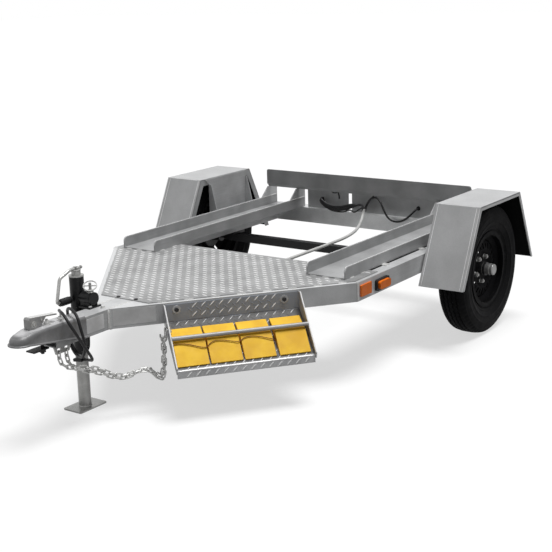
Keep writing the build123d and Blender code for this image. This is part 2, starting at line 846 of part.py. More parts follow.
# ---------------------------------------------------------------- jack
jack_x = ahead(jack_ahead)
jack_y = -jack_side
stub_radius = 19.0
socket_radius = 24.0
socket_inner_y = -26.0
socket_outer_y = jack_y + jack_tube_radius + 6
bracket_length = 60.0
bracket_plate = 6.0
bracket_lap = 22.0
bracket_side_drop = 62.0
side_rear = ahead(a_frame_front_ahead) + 3
side_front = jack_x + bracket_length / 2
web_width = 2 * socket_radius - 8
pin_y = -37.0
pin_boss_radius = 10.0
pin_top = jack_pivot_height + socket_radius + 8
with BuildPart() as jack_bracket:
    with BuildSketch(Plane.XY.offset(frame_top)):
        with Locations((jack_x, (bracket_lap - tongue_half + socket_outer_y) / 2)):
            Rectangle(bracket_length, bracket_lap - tongue_half - socket_outer_y)
    extrude(amount=bracket_plate)
    with BuildSketch(Plane.XY.offset(frame_top)):
        with Locations(((side_rear + side_front) / 2, -tongue_half - bracket_plate / 2)):
            Rectangle(side_front - side_rear, bracket_plate)
    extrude(amount=-bracket_side_drop)
    with BuildSketch(Plane.XZ.offset(-socket_inner_y)):
        with Locations((jack_x, jack_pivot_height)):
            Circle(socket_radius)
        with Locations((jack_x, (frame_top + bracket_plate + jack_pivot_height) / 2)):
            Rectangle(web_width, jack_pivot_height - frame_top - bracket_plate)
    extrude(amount=socket_inner_y - socket_outer_y)
    with BuildSketch(Plane.XY.offset(jack_pivot_height)):
        with Locations((jack_x, pin_y)):
            Circle(pin_boss_radius)
    extrude(amount=pin_top - jack_pivot_height)
    with BuildSketch(Plane.XZ.offset(-socket_inner_y)):
        with Locations((jack_x, jack_pivot_height)):
            Circle(stub_radius + pivot_clearance)
    extrude(amount=socket_inner_y - socket_outer_y, mode=Mode.SUBTRACT)
place("jack_bracket", jack_bracket.part)

ring_radius = 26.0
ring_width = 3.5
ring_half_thickness = 1.7
ring_rise = 15.0
stem_radius = 5.0
stem_length = 26.0
with BuildPart() as jack_pull_pin:
    with BuildSketch(Plane.XY.offset(pin_top)):
        with Locations((jack_x, pin_y)):
            Circle(stem_radius)
    extrude(amount=stem_length)
    ring_middle = (jack_x, pin_y, pin_top + ring_rise)
    with BuildSketch(Plane(origin=ring_middle, x_dir=(0.31, -0.43, 0), z_dir=(0.43, 0.31, 0.85))):
        Circle(ring_radius)
        Circle(ring_radius - ring_width, mode=Mode.SUBTRACT)
        Rectangle(2 * ring_radius - 2 * ring_half_thickness, 3)
    extrude(amount=ring_half_thickness, both=True)
place("jack_pull_pin", jack_pull_pin.part)

stub_end = socket_inner_y + 6
stub_flange = 4.0
with BuildPart() as jack_tube:
    with BuildSketch(Plane.XY.offset(jack_tube_bottom)):
        with Locations((jack_x, jack_y)):
            Circle(jack_tube_radius)
    extrude(amount=jack_tube_top - jack_tube_bottom)
    with BuildSketch(Plane.XZ.offset(-stub_end)):
        with Locations((jack_x, jack_pivot_height)):
            Circle(stub_radius)
    extrude(amount=stub_end - jack_y)
    with BuildSketch(Plane.XZ.offset(-stub_end)):
        with Locations((jack_x, jack_pivot_height)):
            Circle(socket_radius)
    extrude(amount=stub_flange)
    with BuildSketch(Plane.XY.offset(jack_tube_bottom)):
        with Locations((jack_x, jack_y)):
            Circle(jack_tube_radius - jack_tube_wall)
    extrude(amount=jack_tube_top - jack_tube_bottom, mode=Mode.SUBTRACT)
place("jack_tube", jack_tube.part)

collar_height = 5.0
cap_top = jack_tube_top + 24
cap_post_radius = 17.0
with BuildPart() as jack_cap:
    with BuildSketch(Plane.XY.offset(jack_tube_top)):
        with Locations((jack_x, jack_y)):
            Circle(jack_tube_radius + 1)
    extrude(amount=collar_height)
    with BuildSketch(Plane.XY.offset(jack_tube_top + collar_height)):
        with Locations((jack_x, jack_y)):
            Circle(cap_post_radius)
    extrude(amount=cap_top - jack_tube_top - collar_height)
place("jack_cap", jack_cap.part)

grip_radius = 13.0
grip_height = jack_pivot_height - 6
grip_rear = jack_x + jack_tube_radius + 12
grip_front = grip_rear + 52
crank_bend = 8.0
crank_points = [
    (jack_x - crank_overhang, jack_y, cap_top + crank_radius),
    (jack_x + 30, jack_y, cap_top + crank_radius),
    (jack_x + 84, jack_y, jack_tube_top + crank_bend),
    (grip_front + 14, jack_y, grip_height),
    (grip_rear + 2, jack_y, grip_height),
]
with BuildPart() as jack_crank:
    with BuildLine():
        crank_path = FilletPolyline(*crank_points, radius=crank_bend)
    with BuildSketch(Plane(origin=crank_path @ 0, z_dir=crank_path % 0)):
        Circle(crank_radius)
    sweep()
place("jack_crank", jack_crank.part)

with BuildPart() as jack_grip:
    with BuildSketch(Plane.YZ.offset(grip_rear)):
        with Locations((jack_y, grip_height)):
            Circle(grip_radius)
            Circle(crank_radius + pivot_clearance, mode=Mode.SUBTRACT)
    extrude(amount=grip_front - grip_rear)
place("jack_grip", jack_grip.part)

leg_radius = jack_tube_radius - jack_tube_wall - jack_leg_clearance
with BuildPart() as jack_leg:
    with BuildSketch(Plane.XY.offset(jack_foot_thickness)):
        with Locations((jack_x, jack_y)):
            Circle(leg_radius)
            Circle(leg_radius - jack_leg_wall, mode=Mode.SUBTRACT)
    extrude(amount=jack_tube_bottom + jack_leg_overlap - jack_foot_thickness)
place("jack_leg", jack_leg.part)

with BuildPart() as jack_foot:
    with BuildSketch(Plane.XY):
        with Locations((jack_x, jack_y)):
            RectangleRounded(jack_foot_length, jack_foot_width, jack_foot_corner)
    extrude(amount=jack_foot_thickness)
place("jack_foot", jack_foot.part)

# ---------------------------------------------------------------- chock rack
rack_top = frame_top - rack_top_drop
rack_bend = frame_top - rack_bend_drop
floor_angle = radians(rack_floor_angle)
rack_tip = rack_bend - rack_depth * tan(floor_angle)
rack_end = rack_start + rack_length


def rack_section(along):
    """A plane across the rack: its x is the distance out from the A-tube, its y the height."""
    return Plane(
        origin=rack_plane.from_local_coords((along, 0, 0)),
        x_dir=rack_plane.y_dir,
        z_dir=rack_plane.x_dir,
    )


def floor_point(along, height):
    """A point over the rack's sloping floor: distance down the slope, and height square to it."""
    rise = height + rack_sheet
    return (
        along * cos(floor_angle) + rise * sin(floor_angle),
        rack_bend - along * sin(floor_angle) + rise * cos(floor_angle),
    )


bend_turn = rack_sheet * tan((pi / 2 - floor_angle) / 2)
with BuildPart() as chock_rack:
    with BuildSketch(rack_section(rack_start)):
        with BuildLine():
            Polyline(
                (0, rack_top),
                (0, rack_bend),
                (rack_depth, rack_tip),
                (rack_depth, rack_tip - rack_lip),
                (rack_depth + rack_sheet, rack_tip - rack_lip),
                (rack_depth + rack_sheet, rack_tip + bend_turn),
                (rack_sheet, rack_bend + bend_turn),
                (rack_sheet, rack_top),
                close=True,
            )
        make_face()
    extrude(amount=rack_length)
place("chock_rack", chock_rack.part)

hook_holes = ((46.0, rack_bend + 2.8), (66.0, rack_bend - 3.2))
hook_hole_radius = 8.0
with BuildPart() as rack_sides:
    for along in (rack_start - rack_side_sheet, rack_end):
        with BuildSketch(rack_section(along)) as side_shape:
            with BuildLine():
                Polyline(
                    (0, rack_bend - 2),
                    (0, rack_top),
                    (16, rack_top),
                    (40, rack_top - 26),
                    (rack_depth + 14, rack_tip + 10),
                    (rack_depth + 6, rack_tip - 8),
                    close=True,
                )
            make_face()
            fillet(side_shape.vertices().group_by(Axis.X)[-1], 6)
        extrude(amount=rack_side_sheet)
    with BuildSketch(rack_section(rack_end)):
        with Locations(*hook_holes):
            Circle(hook_hole_radius)
    extrude(amount=rack_side_sheet, mode=Mode.SUBTRACT)
place("rack_sides", rack_sides.part)

with BuildPart() as rack_bar:
    with BuildSketch(rack_section(rack_start)):
        with Locations(floor_point(rack_bar_along, rack_bar_height)):
            Circle(rack_bar_radius)
    extrude(amount=rack_length)
place("rack_bar", rack_bar.part)

chock_gaps = (4.0, 7.0, 8.0, 14.0)
with BuildPart() as wheel_chocks:
    chock_start = rack_end
    for gap in chock_gaps:
        chock_start -= gap + chock_width
        with BuildSketch(rack_section(chock_start)):
            with BuildLine():
                Polyline(
                    floor_point(chock_back, 0),
                    floor_point(chock_front, 0),
                    floor_point(chock_front, chock_edge),
                    floor_point(chock_ridge, chock_height),
                    floor_point(chock_back, chock_edge + 3),
                    close=True,
                )
            make_face()
        extrude(amount=chock_width)
place("wheel_chocks", wheel_chocks.part)

# ---------------------------------------------------------------- side lights
light_height = frame_bottom + tube_size / 2
marker_height = light_height - 4


def side_pads(name, x, z, size, corner, proud):
    """A pair of rounded pads on the side rails, standing proud of them by a given distance."""
    length, height, depth = size
    with BuildPart() as pads:
        for start in (frame_half_width + proud, -frame_half_width - proud - depth):
            with BuildSketch(Plane.XZ.offset(-start - depth)):
                with Locations((x, z)):
                    RectangleRounded(length, height, corner)
            extrude(amount=depth)
    place(name, pads.part)


side_pads("side_reflectors", ahead(reflector_ahead), light_height, reflector_size, reflector_corner, 0)
side_pads("marker_bases", ahead(marker_ahead), marker_height, marker_base_size, marker_corner, 0)
lens_proud = marker_base_size[2]
side_pads("marker_lenses", ahead(marker_ahead), marker_height, marker_lens_size, marker_corner, lens_proud)

# ---------------------------------------------------------------- tail lights and plate
lamp_height = (frame_top + beam_bottom) / 2
lamp_face = tail_x - lamp_plate_thickness
with BuildPart() as tail_lamps:
    with BuildSketch(Plane.YZ.offset(lamp_face)):
        with Locations((tail_lamp_left, lamp_height), (tail_lamp_right, lamp_height)):
            SlotOverall(tail_lamp_length, tail_lamp_height)
    extrude(amount=-tail_lamp_depth)
place("tail_lamps", tail_lamps.part)

with BuildPart() as licence_plate:
    with BuildSketch(Plane.YZ.offset(lamp_face)):
        with Locations((plate_centre, frame_top + plate_height / 2 + plate_rise)):
            RectangleRounded(plate_width, plate_height, plate_corner)
    extrude(amount=-plate_sheet)
place("licence_plate", licence_plate.part)

# ---------------------------------------------------------------- wiring
conduit_radius = 7.0
loom_radius = 5.0
lead_radius = 5.5
lanyard_radius = 1.5
arc_share = 0.45


def corner_radii(points):
    """The arc at each corner of a route: as large as its two runs allow."""
    radii = []
    for before, here, after in zip(points, points[1:], points[2:]):
        arrive = Vector(*here) - Vector(*before)
        leave = Vector(*after) - Vector(*here)
        half_turn = radians(arrive.get_angle(leave)) / 2
        radii.append(arc_share * min(arrive.length, leave.length) / tan(half_turn))
    return radii


def cord_tube(name, points, radius):
    """A round cord along straight runs joined by tangent arcs."""
    radii = corner_radii(points)
    with BuildPart() as cord:
        with BuildLine():
            path = FilletPolyline(*points, radius=radii)
        with BuildSketch(Plane(origin=path @ 0, z_dir=path % 0)):
            Circle(radius)
        sweep()
    length = path.length
    share = cord.part.volume / (pi * radius**2 * length)
    print(name, "length", round(length), "least radius", round(min(radii)), "volume share", round(share, 4))
    place(name, cord.part)


conduit_route = [
    (ahead(658), 148, 384),
    (ahead(470), 148, 384),
    (ahead(290), 144, 382),
    (ahead(130), 141, 383),
    (ahead(10), 120, 386),
    (ahead(-90), 82, 390),
    (ahead(-170), 46, 397),
    (ahead(-232), 18, 407),
    (ahead(-284), -5, 425),
]
cord_tube("wiring_conduit", conduit_route, conduit_radius)

# A boot joins the conduit to the two looms that run on to the tail lamps
boot_radius = 11.0
boot_length = 18.0
conduit_end = Vector(*conduit_route[-1])
conduit_way = (conduit_end - Vector(*conduit_route[-2])).normalized()
with BuildPart() as conduit_boot:
    with BuildSketch(Plane(origin=conduit_end, z_dir=conduit_way)):
        Circle(boot_radius)
    extrude(amount=boot_length)
place("conduit_boot", conduit_boot.part)

loom_left_route = [
    (ahead(-302), -7.2, 430.5),
    (ahead(-317), -13.8, 435.7),
    (ahead(-331), -8, 458),
    (ahead(-332), 14, 483),
    (ahead(-324), 48, 485),
    (ahead(-311), 77, 460),
    (ahead(-303), 99, 421),
    (ahead(-301), 124, 388),
    (ahead(-303), 160, 376),
    (ahead(-305), 200, 385),
    (ahead(-305), 233, 409),
    (ahead(-313), 256, 435),
    (ahead(-330), 263, 446),
    (tail_x, 263, 446),
]
loom_right_route = [
    (ahead(-297.6), -16.8, 430.4),
    (ahead(-310), -22.3, 434.7),
    (ahead(-320), -42, 443),
    (ahead(-318), -74, 435),
    (ahead(-311), -114, 416),
    (ahead(-309), -158, 405),
    (ahead(-309), -204, 403),
    (ahead(-308), -242, 413),
    (ahead(-309), -269, 431),
    (ahead(-318), -285, 444),
    (ahead(-333), -289, 448),
    (tail_x, -289, 448),
]
cord_tube("tail_loom_left", loom_left_route, loom_radius)
cord_tube("tail_loom_right", loom_right_route, loom_radius)

# The trailer's lead comes out under the tongue and is wound twice round it for parking
grommet_radius = 10.0
grommet_length = 10.0
grommet_taper = 18.0
lead_exit = (ahead(1668), 0, frame_bottom - grommet_length)
with BuildPart() as lead_grommet:
    with BuildSketch(Plane.XY.offset(frame_bottom)):
        with Locations((lead_exit[0], lead_exit[1])):
            Circle(grommet_radius)
    extrude(amount=-grommet_length, taper=grommet_taper)
place("lead_grommet", lead_grommet.part)

lead_route = [
    lead_exit,
    (ahead(1668), 0, 286),
    (ahead(1669), -4, 262),
    (ahead(1674), -22, 241),
    (ahead(1681), -48, 241),
    (ahead(1687), -65, 262),
    (ahead(1690), -66, 294),
    (ahead(1693), -66, 332),
    (ahead(1698), -64, 374),
    (ahead(1714), -52, 413),
    (ahead(1740), -14, 432),
    (ahead(1760), 28, 432),
    (ahead(1775), 61, 417),
    (ahead(1778), 74, 382),
    (ahead(1765), 74, 338),
    (ahead(1752), 66, 296),
    (ahead(1739), 41, 261),
    (ahead(1724), 8, 246),
    (ahead(1712), -26, 249),
    (ahead(1705), -54, 273),
    (ahead(1706), -65, 312),
    (ahead(1713), -66, 358),
    (ahead(1732), -62, 401),
    (ahead(1762), -42, 426),
    (ahead(1795), -6, 436),
    (ahead(1819), 36, 438),
    (ahead(1831), 68, 420),
    (ahead(1821), 86, 384),
    (ahead(1797), 90, 342),
    (ahead(1770), 90, 300),
    (ahead(1742), 84, 264),
    (ahead(1718), 62, 242),
    (ahead(1704), 30, 235),
    (ahead(1704), 2, 231),
]
cord_tube("trailer_lead", lead_route, lead_radius)

plug_length = 40.0
plug_size = (12.0, 24.0)
plug_corner = 4.0
lead_end = Vector(*lead_route[-1])
lead_way = (lead_end - Vector(*lead_route[-2])).normalized()
with BuildPart() as lead_plug:
    with BuildSketch(Plane(origin=lead_end, x_dir=(0, 0, 1), z_dir=lead_way)):
        RectangleRounded(*plug_size, plug_corner)
    extrude(amount=plug_length)
place("lead_plug", lead_plug.part)

# ---------------------------------------------------------------- safety chains
link_wire = 2.75
link_half_width = 6.5
link_straight = 8.5
link_pitch = 24.4
hook_wire = 3.5
hook_turn = 18.0
hook_drop = 46.0
hook_lap = 15.0
hook_point = 16.0
link_seat = link_straight + link_half_width

with BuildPart() as chain_link:
    with BuildLine() as link_line:
        Line((-link_straight, link_half_width), (link_straight, link_half_width))
        ThreePointArc(
            (link_straight, link_half_width),
            (link_straight + link_half_width, 0),
            (link_straight, -link_half_width),
        )
        Line((link_straight, -link_half_width), (-link_straight, -link_half_width))
        ThreePointArc(
            (-link_straight, -link_half_width),
            (-link_straight - link_half_width, 0),
            (-link_straight, link_half_width),
        )
    with BuildSketch(Plane(origin=(0, link_half_width, 0), x_dir=(0, 0, 1), z_dir=(1, 0, 0))):
        Circle(link_wire)
    sweep(path=link_line.wire())


def chain(name, points, end_turn):
    """A chain of links along a smooth line, each a quarter turn on from the last.

    Its line starts straight down and ends straight up. The first link is across the trailer, and
    the last is turned from there by end_turn degrees.
    """
    with BuildLine():
        line = Spline(*points, tangents=[(0, 0, -1), (0, 0, 1)])
    count = ceil(line.length / link_pitch)
    turn = end_turn + 90 * (count % 2)
    places = []
    for index in range(count + 1):
        share = index / count
        origin = line.position_at(share * line.length, position_mode=PositionMode.LENGTH)
        way = line.tangent_at(share * line.length, position_mode=PositionMode.LENGTH)
        across = way.cross(Vector(0, 1, 0)).rotate(Axis((0, 0, 0), way), turn * share + 90 * (index % 2))
        places.append(Plane(origin=origin, x_dir=way, z_dir=across))
    with BuildPart() as links:
        with Locations(*places):
            add(chain_link.part)
    print(name, count + 1, "links", round(line.length), "mm")
    place(name, links.part)


def hook_plane(out, height):
    """A plane through a hook: its x runs forward from the rack's side plate, its y up."""
    middle = rack_plane.from_local_coords((rack_end + rack_side_sheet / 2, out, 0))
    return Plane(origin=(middle.X, middle.Y, height), x_dir=rack_plane.x_dir, z_dir=-rack_plane.y_dir)


seat_gap = 0.3
hook_tops = hook_wire + seat_gap - hook_hole_radius
with BuildPart() as chain_hooks:
    for out, height in hook_holes:
        with BuildLine(hook_plane(out, height)):
            hook_path = FilletPolyline(
                (-hook_turn / 2, -hook_lap),
                (-hook_turn / 2, hook_tops),
                (hook_turn / 2, hook_tops),
                (hook_turn / 2, -hook_drop),
                (1.5 * hook_turn, -hook_drop),
                (1.5 * hook_turn, hook_point - hook_drop),
                radius=hook_turn / 2 - 0.1,
            )
        with BuildSketch(Plane(origin=hook_path @ 0, z_dir=hook_path % 0)):
            Circle(hook_wire)
        sweep()
place("chain_hooks", chain_hooks.part)


def hooked_link(out, height):
    """Where a link's middle lies when it hangs from the hook at this place."""
    drop = hook_drop - hook_wire - link_wire - seat_gap + link_seat
    return hook_plane(out, height).from_local_coords((hook_turn, -drop, 0))


bow_drop = link_half_width - sqrt(link_half_width**2 - (anchor_sheet / 2) ** 2)
anchored_z = anchor_hole_z - anchor_hole + link_wire + bow_drop + seat_gap - link_seat
chain_turn = -degrees(a_rad)
anchored_near = Vector(chain_anchor_x + anchor_hole_spread, 0, anchored_z)
anchored_far = Vector(chain_anchor_x - anchor_hole_spread, 0, anchored_z)


def strand(start, end, stations):
    """A chain's points from end to end; each station is a share of the way, its offset, its drop."""
    way = Vector(end.X - start.X, end.Y - start.Y, 0)
    across = Vector(-way.Y, way.X, 0).normalized()
    points = [tuple(start)]
    for share, offset, drop in stations:
        over = start + way * share + across * offset
        points.append((over.X, over.Y, frame_bottom - drop))
    points.append(tuple(end))
    return points


near_stations = [(0.137, 2.5, 96), (0.337, 8, 114), (0.59, 10.5, 156), (0.85, 2.5, 154)]
far_stations = [(0.142, 8, 117), (0.344, 15.5, 144), (0.606, 17, 174), (0.847, 12, 156)]
near_points = strand(anchored_near, hooked_link(*hook_holes[1]), near_stations)
far_points = strand(anchored_far, hooked_link(*hook_holes[0]), far_stations)
chain("safety_chain_left", near_points, chain_turn)
chain("safety_chain_right", far_points, chain_turn)

# ---------------------------------------------------------------- chock lanyard
# Each point lies so far along the rack, so far down its floor and so high over it
lanyard_route = [
    (758, 127, 27.5),
    (742, 125.5, 27.5),
    (716, 128, 27.2),
    (688, 136, 25.4),
    (660, 147, 23.2),
    (641, 152, 22.4),
    (630, 147, 22.8),
    (620, 136, 26),
    (600, 128, 27.4),
    (570, 131, 26.8),
    (538, 139, 25),
    (516, 145, 24.8),
    (505, 140, 25.2),
    (494, 131, 26.6),
    (470, 127, 27.6),
    (436, 132, 26.6),
    (406, 143, 24.4),
    (387, 150, 24.2),
    (378.5, 152, 17),
    (377.6, 154, 8),
    (378, 154, 0),
]


def rack_point(along, down, height):
    """A point over the rack's floor, in the trailer's frame."""
    out, up = floor_point(down, height)
    return tuple(rack_section(along).from_local_coords((out, up, 0)))


cord_tube("chock_lanyard", [rack_point(*point) for point in lanyard_route], lanyard_radius)
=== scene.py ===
"""Looks for a small single-axle trailer that carries one portable toilet.

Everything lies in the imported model's frame, in metres: +X forward to the coupler, +Y to the
trailer's left, +Z up, with the origin on the ground. The calls that make places and shapes (spot,
polar, lathe, block, tube, bead, bolt and those built on them) take millimetres.
"""
import math

import bmesh
import bpy
from mathutils import Matrix, Vector


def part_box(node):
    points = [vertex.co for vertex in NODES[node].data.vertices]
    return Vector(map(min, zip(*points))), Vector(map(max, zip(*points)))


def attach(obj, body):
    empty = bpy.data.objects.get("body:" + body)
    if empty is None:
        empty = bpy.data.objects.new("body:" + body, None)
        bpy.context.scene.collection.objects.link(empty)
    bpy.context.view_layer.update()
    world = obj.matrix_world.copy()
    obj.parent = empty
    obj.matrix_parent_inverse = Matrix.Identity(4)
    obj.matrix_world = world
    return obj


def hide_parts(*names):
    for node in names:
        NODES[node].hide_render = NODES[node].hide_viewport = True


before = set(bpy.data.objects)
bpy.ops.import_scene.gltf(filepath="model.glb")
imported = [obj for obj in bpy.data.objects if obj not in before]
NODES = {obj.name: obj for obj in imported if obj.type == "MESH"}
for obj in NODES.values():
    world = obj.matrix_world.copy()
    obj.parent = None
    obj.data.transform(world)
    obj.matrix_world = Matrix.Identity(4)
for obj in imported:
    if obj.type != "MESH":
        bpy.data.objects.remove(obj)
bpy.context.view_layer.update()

axle_low, axle_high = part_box("axle")
AXLE_X = (axle_low[0] + axle_high[0]) / 2


def ahead(millimetres):
    """The X of a place that lies this many millimetres ahead of the axle."""
    return AXLE_X + millimetres / 1000


def spot(forward, left, up):
    """A place: ahead of the axle, left of the centreline, above the ground."""
    return Vector((ahead(forward), left / 1000, up / 1000))


def link(name, data):
    """A new object in the scene."""
    made = bpy.data.objects.new(name, data)
    bpy.context.collection.objects.link(made)
    return made


# ---- camera
CAMERA_PLACE = spot(4485.7, 2838.9, 1535.4)
CAMERA_FORWARD = Vector((-0.79111, -0.56226, -0.24086)).normalized()
CAMERA_ROLL = -0.028
CAMERA_LENS = 74.48
CAMERA_SHIFT = (0.001, -0.0213)


def make_camera():
    right = CAMERA_FORWARD.cross(Vector((0, 0, 1))).normalized()
    up = right.cross(CAMERA_FORWARD)
    rolled_right = math.cos(CAMERA_ROLL) * right + math.sin(CAMERA_ROLL) * up
    rolled_up = rolled_right.cross(CAMERA_FORWARD)
    rotation = Matrix((rolled_right, rolled_up, -CAMERA_FORWARD)).transposed()
    data = bpy.data.cameras.new("camera")
    data.lens = CAMERA_LENS
    data.sensor_width = 36
    data.shift_x, data.shift_y = CAMERA_SHIFT
    data.clip_start, data.clip_end = 0.05, 60
    camera = link("camera", data)
    camera.matrix_world = Matrix.Translation(CAMERA_PLACE) @ rotation.to_4x4()
    bpy.context.scene.camera = camera


make_camera()
bpy.context.scene.view_settings.view_transform = "Standard"


# ---- materials
class Nodes:
    """A node tree, with short calls for the nodes used here."""

    def __init__(self, tree):
        self.tree = tree

    def node(self, kind, *parts, **settings):
        """A new node with these settings, and these parts in its first inputs."""
        made = self.tree.nodes.new("ShaderNode" + kind)
        for key, value in settings.items():
            setattr(made, key, value)
        for part, socket in zip(parts, made.inputs):
            self.put(part, socket)
        return made

    def put(self, value, socket):
        if isinstance(value, bpy.types.NodeSocket):
            self.tree.links.new(value, socket)
        else:
            socket.default_value = value

    def spread(self, value, *ends):
        """Slides a value from the range of the first two ends to that of the other two."""
        return self.node("MapRange", value, *ends).outputs["Result"]

    def maths(self, operation, *parts):
        return self.node("Math", *parts, operation=operation).outputs[0]

    def seen_directly(self):
        """1 for what the camera sees, also in metal and through glass, and 0 for bounced light."""
        path = self.node("LightPath")
        seen = self.maths("MAXIMUM", path.outputs["Is Camera Ray"], path.outputs["Is Glossy Ray"])
        return self.maths("MAXIMUM", seen, path.outputs["Is Transmission Ray"])


class Shader(Nodes):
    """The nodes of a new material."""

    def __init__(self, name):
        self.material = bpy.data.materials.new(name)
        self.material.use_nodes = True
        super().__init__(self.material.node_tree)
        self.bsdf = self.tree.nodes["Principled BSDF"]
        self.coordinates = self.node("TexCoord").outputs["Object"]

    def noise(self, scale, detail, stretch=(1, 1, 1), turn=0.0):
        """Noise from 0 to 1 over object coordinates turned about Z, then stretched."""
        mapping = self.node("Mapping", self.coordinates, (0, 0, 0), (0, 0, turn), stretch)
        made = self.node("TexNoise", mapping.outputs["Vector"])
        made.inputs["Scale"].default_value = scale
        made.inputs["Detail"].default_value = detail
        return made.outputs["Fac"]

    def blend(self, factor, first, second):
        """A colour between two colours."""
        made = self.node("Mix", factor, data_type="RGBA")
        for colour, socket in ((first, made.inputs[6]), (second, made.inputs[7])):
            self.put(colour if isinstance(colour, bpy.types.NodeSocket) else (*colour, 1), socket)
        return made.outputs[2]

    def mottle(self, cloud, colour, darker, lighter):
        """A colour that clouds vary between a darker and a lighter share of it."""
        factor = self.spread(cloud, *CLOUD_MIDDLE, 0, 1)
        return self.blend(factor, shade(colour, darker), shade(colour, lighter))

    def height_of(self, vector):
        """The Z part of a vector."""
        return self.node("SeparateXYZ", vector).outputs["Z"]

    def surface(self, colour, roughness, specular, height, depth, metallic=0.0):
        """The finished material, with bumps of this height and depth in metres."""
        bump = self.node("Bump")
        self.put(height, bump.inputs["Height"])
        self.put(depth, bump.inputs["Distance"])
        for value, name in (
            (colour, "Base Color"), (roughness, "Roughness"), (specular, "Specular IOR Level"),
            (metallic, "Metallic"), (bump.outputs["Normal"], "Normal"),
        ):
            self.put(value, self.bsdf.inputs[name])
        return self.material


# Ranges of noise, and of the Z of normals, over which a look changes; the normals' range sets
# where the painted highlight on faces that look up comes in
CLOUD_MIDDLE = (0.35, 0.65)
NOISE_RANGE = (0.3, 0.7)
FACES_UP = (0.86, 0.985)
# How far a metal's grain is squeezed along X, Y and Z
ROLLED, DRAWN = (60, 60, 60), (4, 160, 160)
BARE_METAL = (0.35, 0.34, 0.33)


def shade(colour, amount):
    return tuple(min(1.0, part * amount) for part in colour)


def metal(name, colour, roughness, metallic, turn=None, blotch=0.12, grain_depth=0.35, shade_bands=(),
          top=None):
    """Bare or plated metal: cloudy blotches, a drawn or rolled grain along turn, fine scratches.

    Painted shade bands list heights in metres with the darker or tinted colour painted above each,
    standing in for shade and bounced light, and top is how much brighter the faces that look up
    are painted, a painted highlight for the light from above.
    """
    shader = Shader(name)
    cloud, speck = shader.noise(9, 5), shader.noise(240, 2)
    grain = shader.noise(3, 4, ROLLED if turn is None else DRAWN, turn or 0.0)
    dark = shader.spread(grain, 0.35, 0.75, 0, grain_depth)
    final = shader.mottle(cloud, colour, 1 - blotch, 1 + blotch)
    final = shader.blend(dark, final, shade(colour, 0.62))
    # Painted shade bands: above each height the colour turns darker or tinted, standing in for
    # shade
    for height, band_colour in shade_bands:
        ragged = shader.spread(cloud, *NOISE_RANGE, -0.002, 0.002)
        edge = shader.maths("ADD", shader.height_of(shader.coordinates), ragged)
        band_share = shader.spread(edge, height - 0.003, height + 0.003, 0, 1)
        mottled_band = shader.blend(cloud, shade(band_colour, 0.8), shade(band_colour, 1.2))
        final = shader.blend(band_share, final, mottled_band)
    # Painted highlight: faces that look up are painted brighter by top, standing in for light from
    # above
    if top:
        normal = shader.node("NewGeometry").outputs["Normal"]
        painted_highlight = shader.spread(shader.height_of(normal), *FACES_UP, 0, 1)
        final = shader.blend(painted_highlight, final, shade(colour, top))
    grainy = shader.spread(grain, *NOISE_RANGE, -0.06, 0.09)
    mixed = shader.maths("ADD", grainy, shader.spread(cloud, *NOISE_RANGE, -0.05, 0.05))
    uneven = shader.maths("ADD", mixed, roughness)
    coarse, fine = shader.maths("MULTIPLY", grain, 0.6), shader.maths("MULTIPLY", speck, 0.25)
    return shader.surface(final, uneven, 0.3, shader.maths("ADD", coarse, fine), 0.00025, metallic)


def painted(name, colour, roughness, chips=0.0, depth=0.0002, scale=140, gloss=0.3, dusty=0.3):
    """Paint, plastic or rubber: a mottled colour, uneven gloss, a fine skin, and worn specks."""
    shader = Shader(name)
    cloud, grain, dust = shader.noise(14, 4), shader.noise(scale, 3), shader.noise(45, 6)
    final = shader.mottle(cloud, colour, 0.86, 1.12)
    pale = tuple(0.75 * part + 0.06 for part in colour)
    final = shader.blend(shader.spread(dust, 0.58, 0.8, 0, dusty), final, pale)
    if chips:
        flakes = shader.spread(shader.noise(90, 2), 0.70, 0.74, 0, chips)
        final = shader.blend(flakes, final, BARE_METAL)
    uneven = shader.spread(dust, *NOISE_RANGE, roughness - 0.06, roughness + 0.1)
    return shader.surface(final, uneven, gloss, grain, depth)


def lens(name, colour):
    """A moulded lens: clear coloured plastic over ribs."""
    shader = Shader(name)
    clouded = shader.blend(shader.noise(30, 2), shade(colour, 0.85), shade(colour, 1.15))
    return shader.surface(clouded, 0.3, 0.12, shader.noise(300, 1, (1, 0.02, 0.02)), 0.0006)


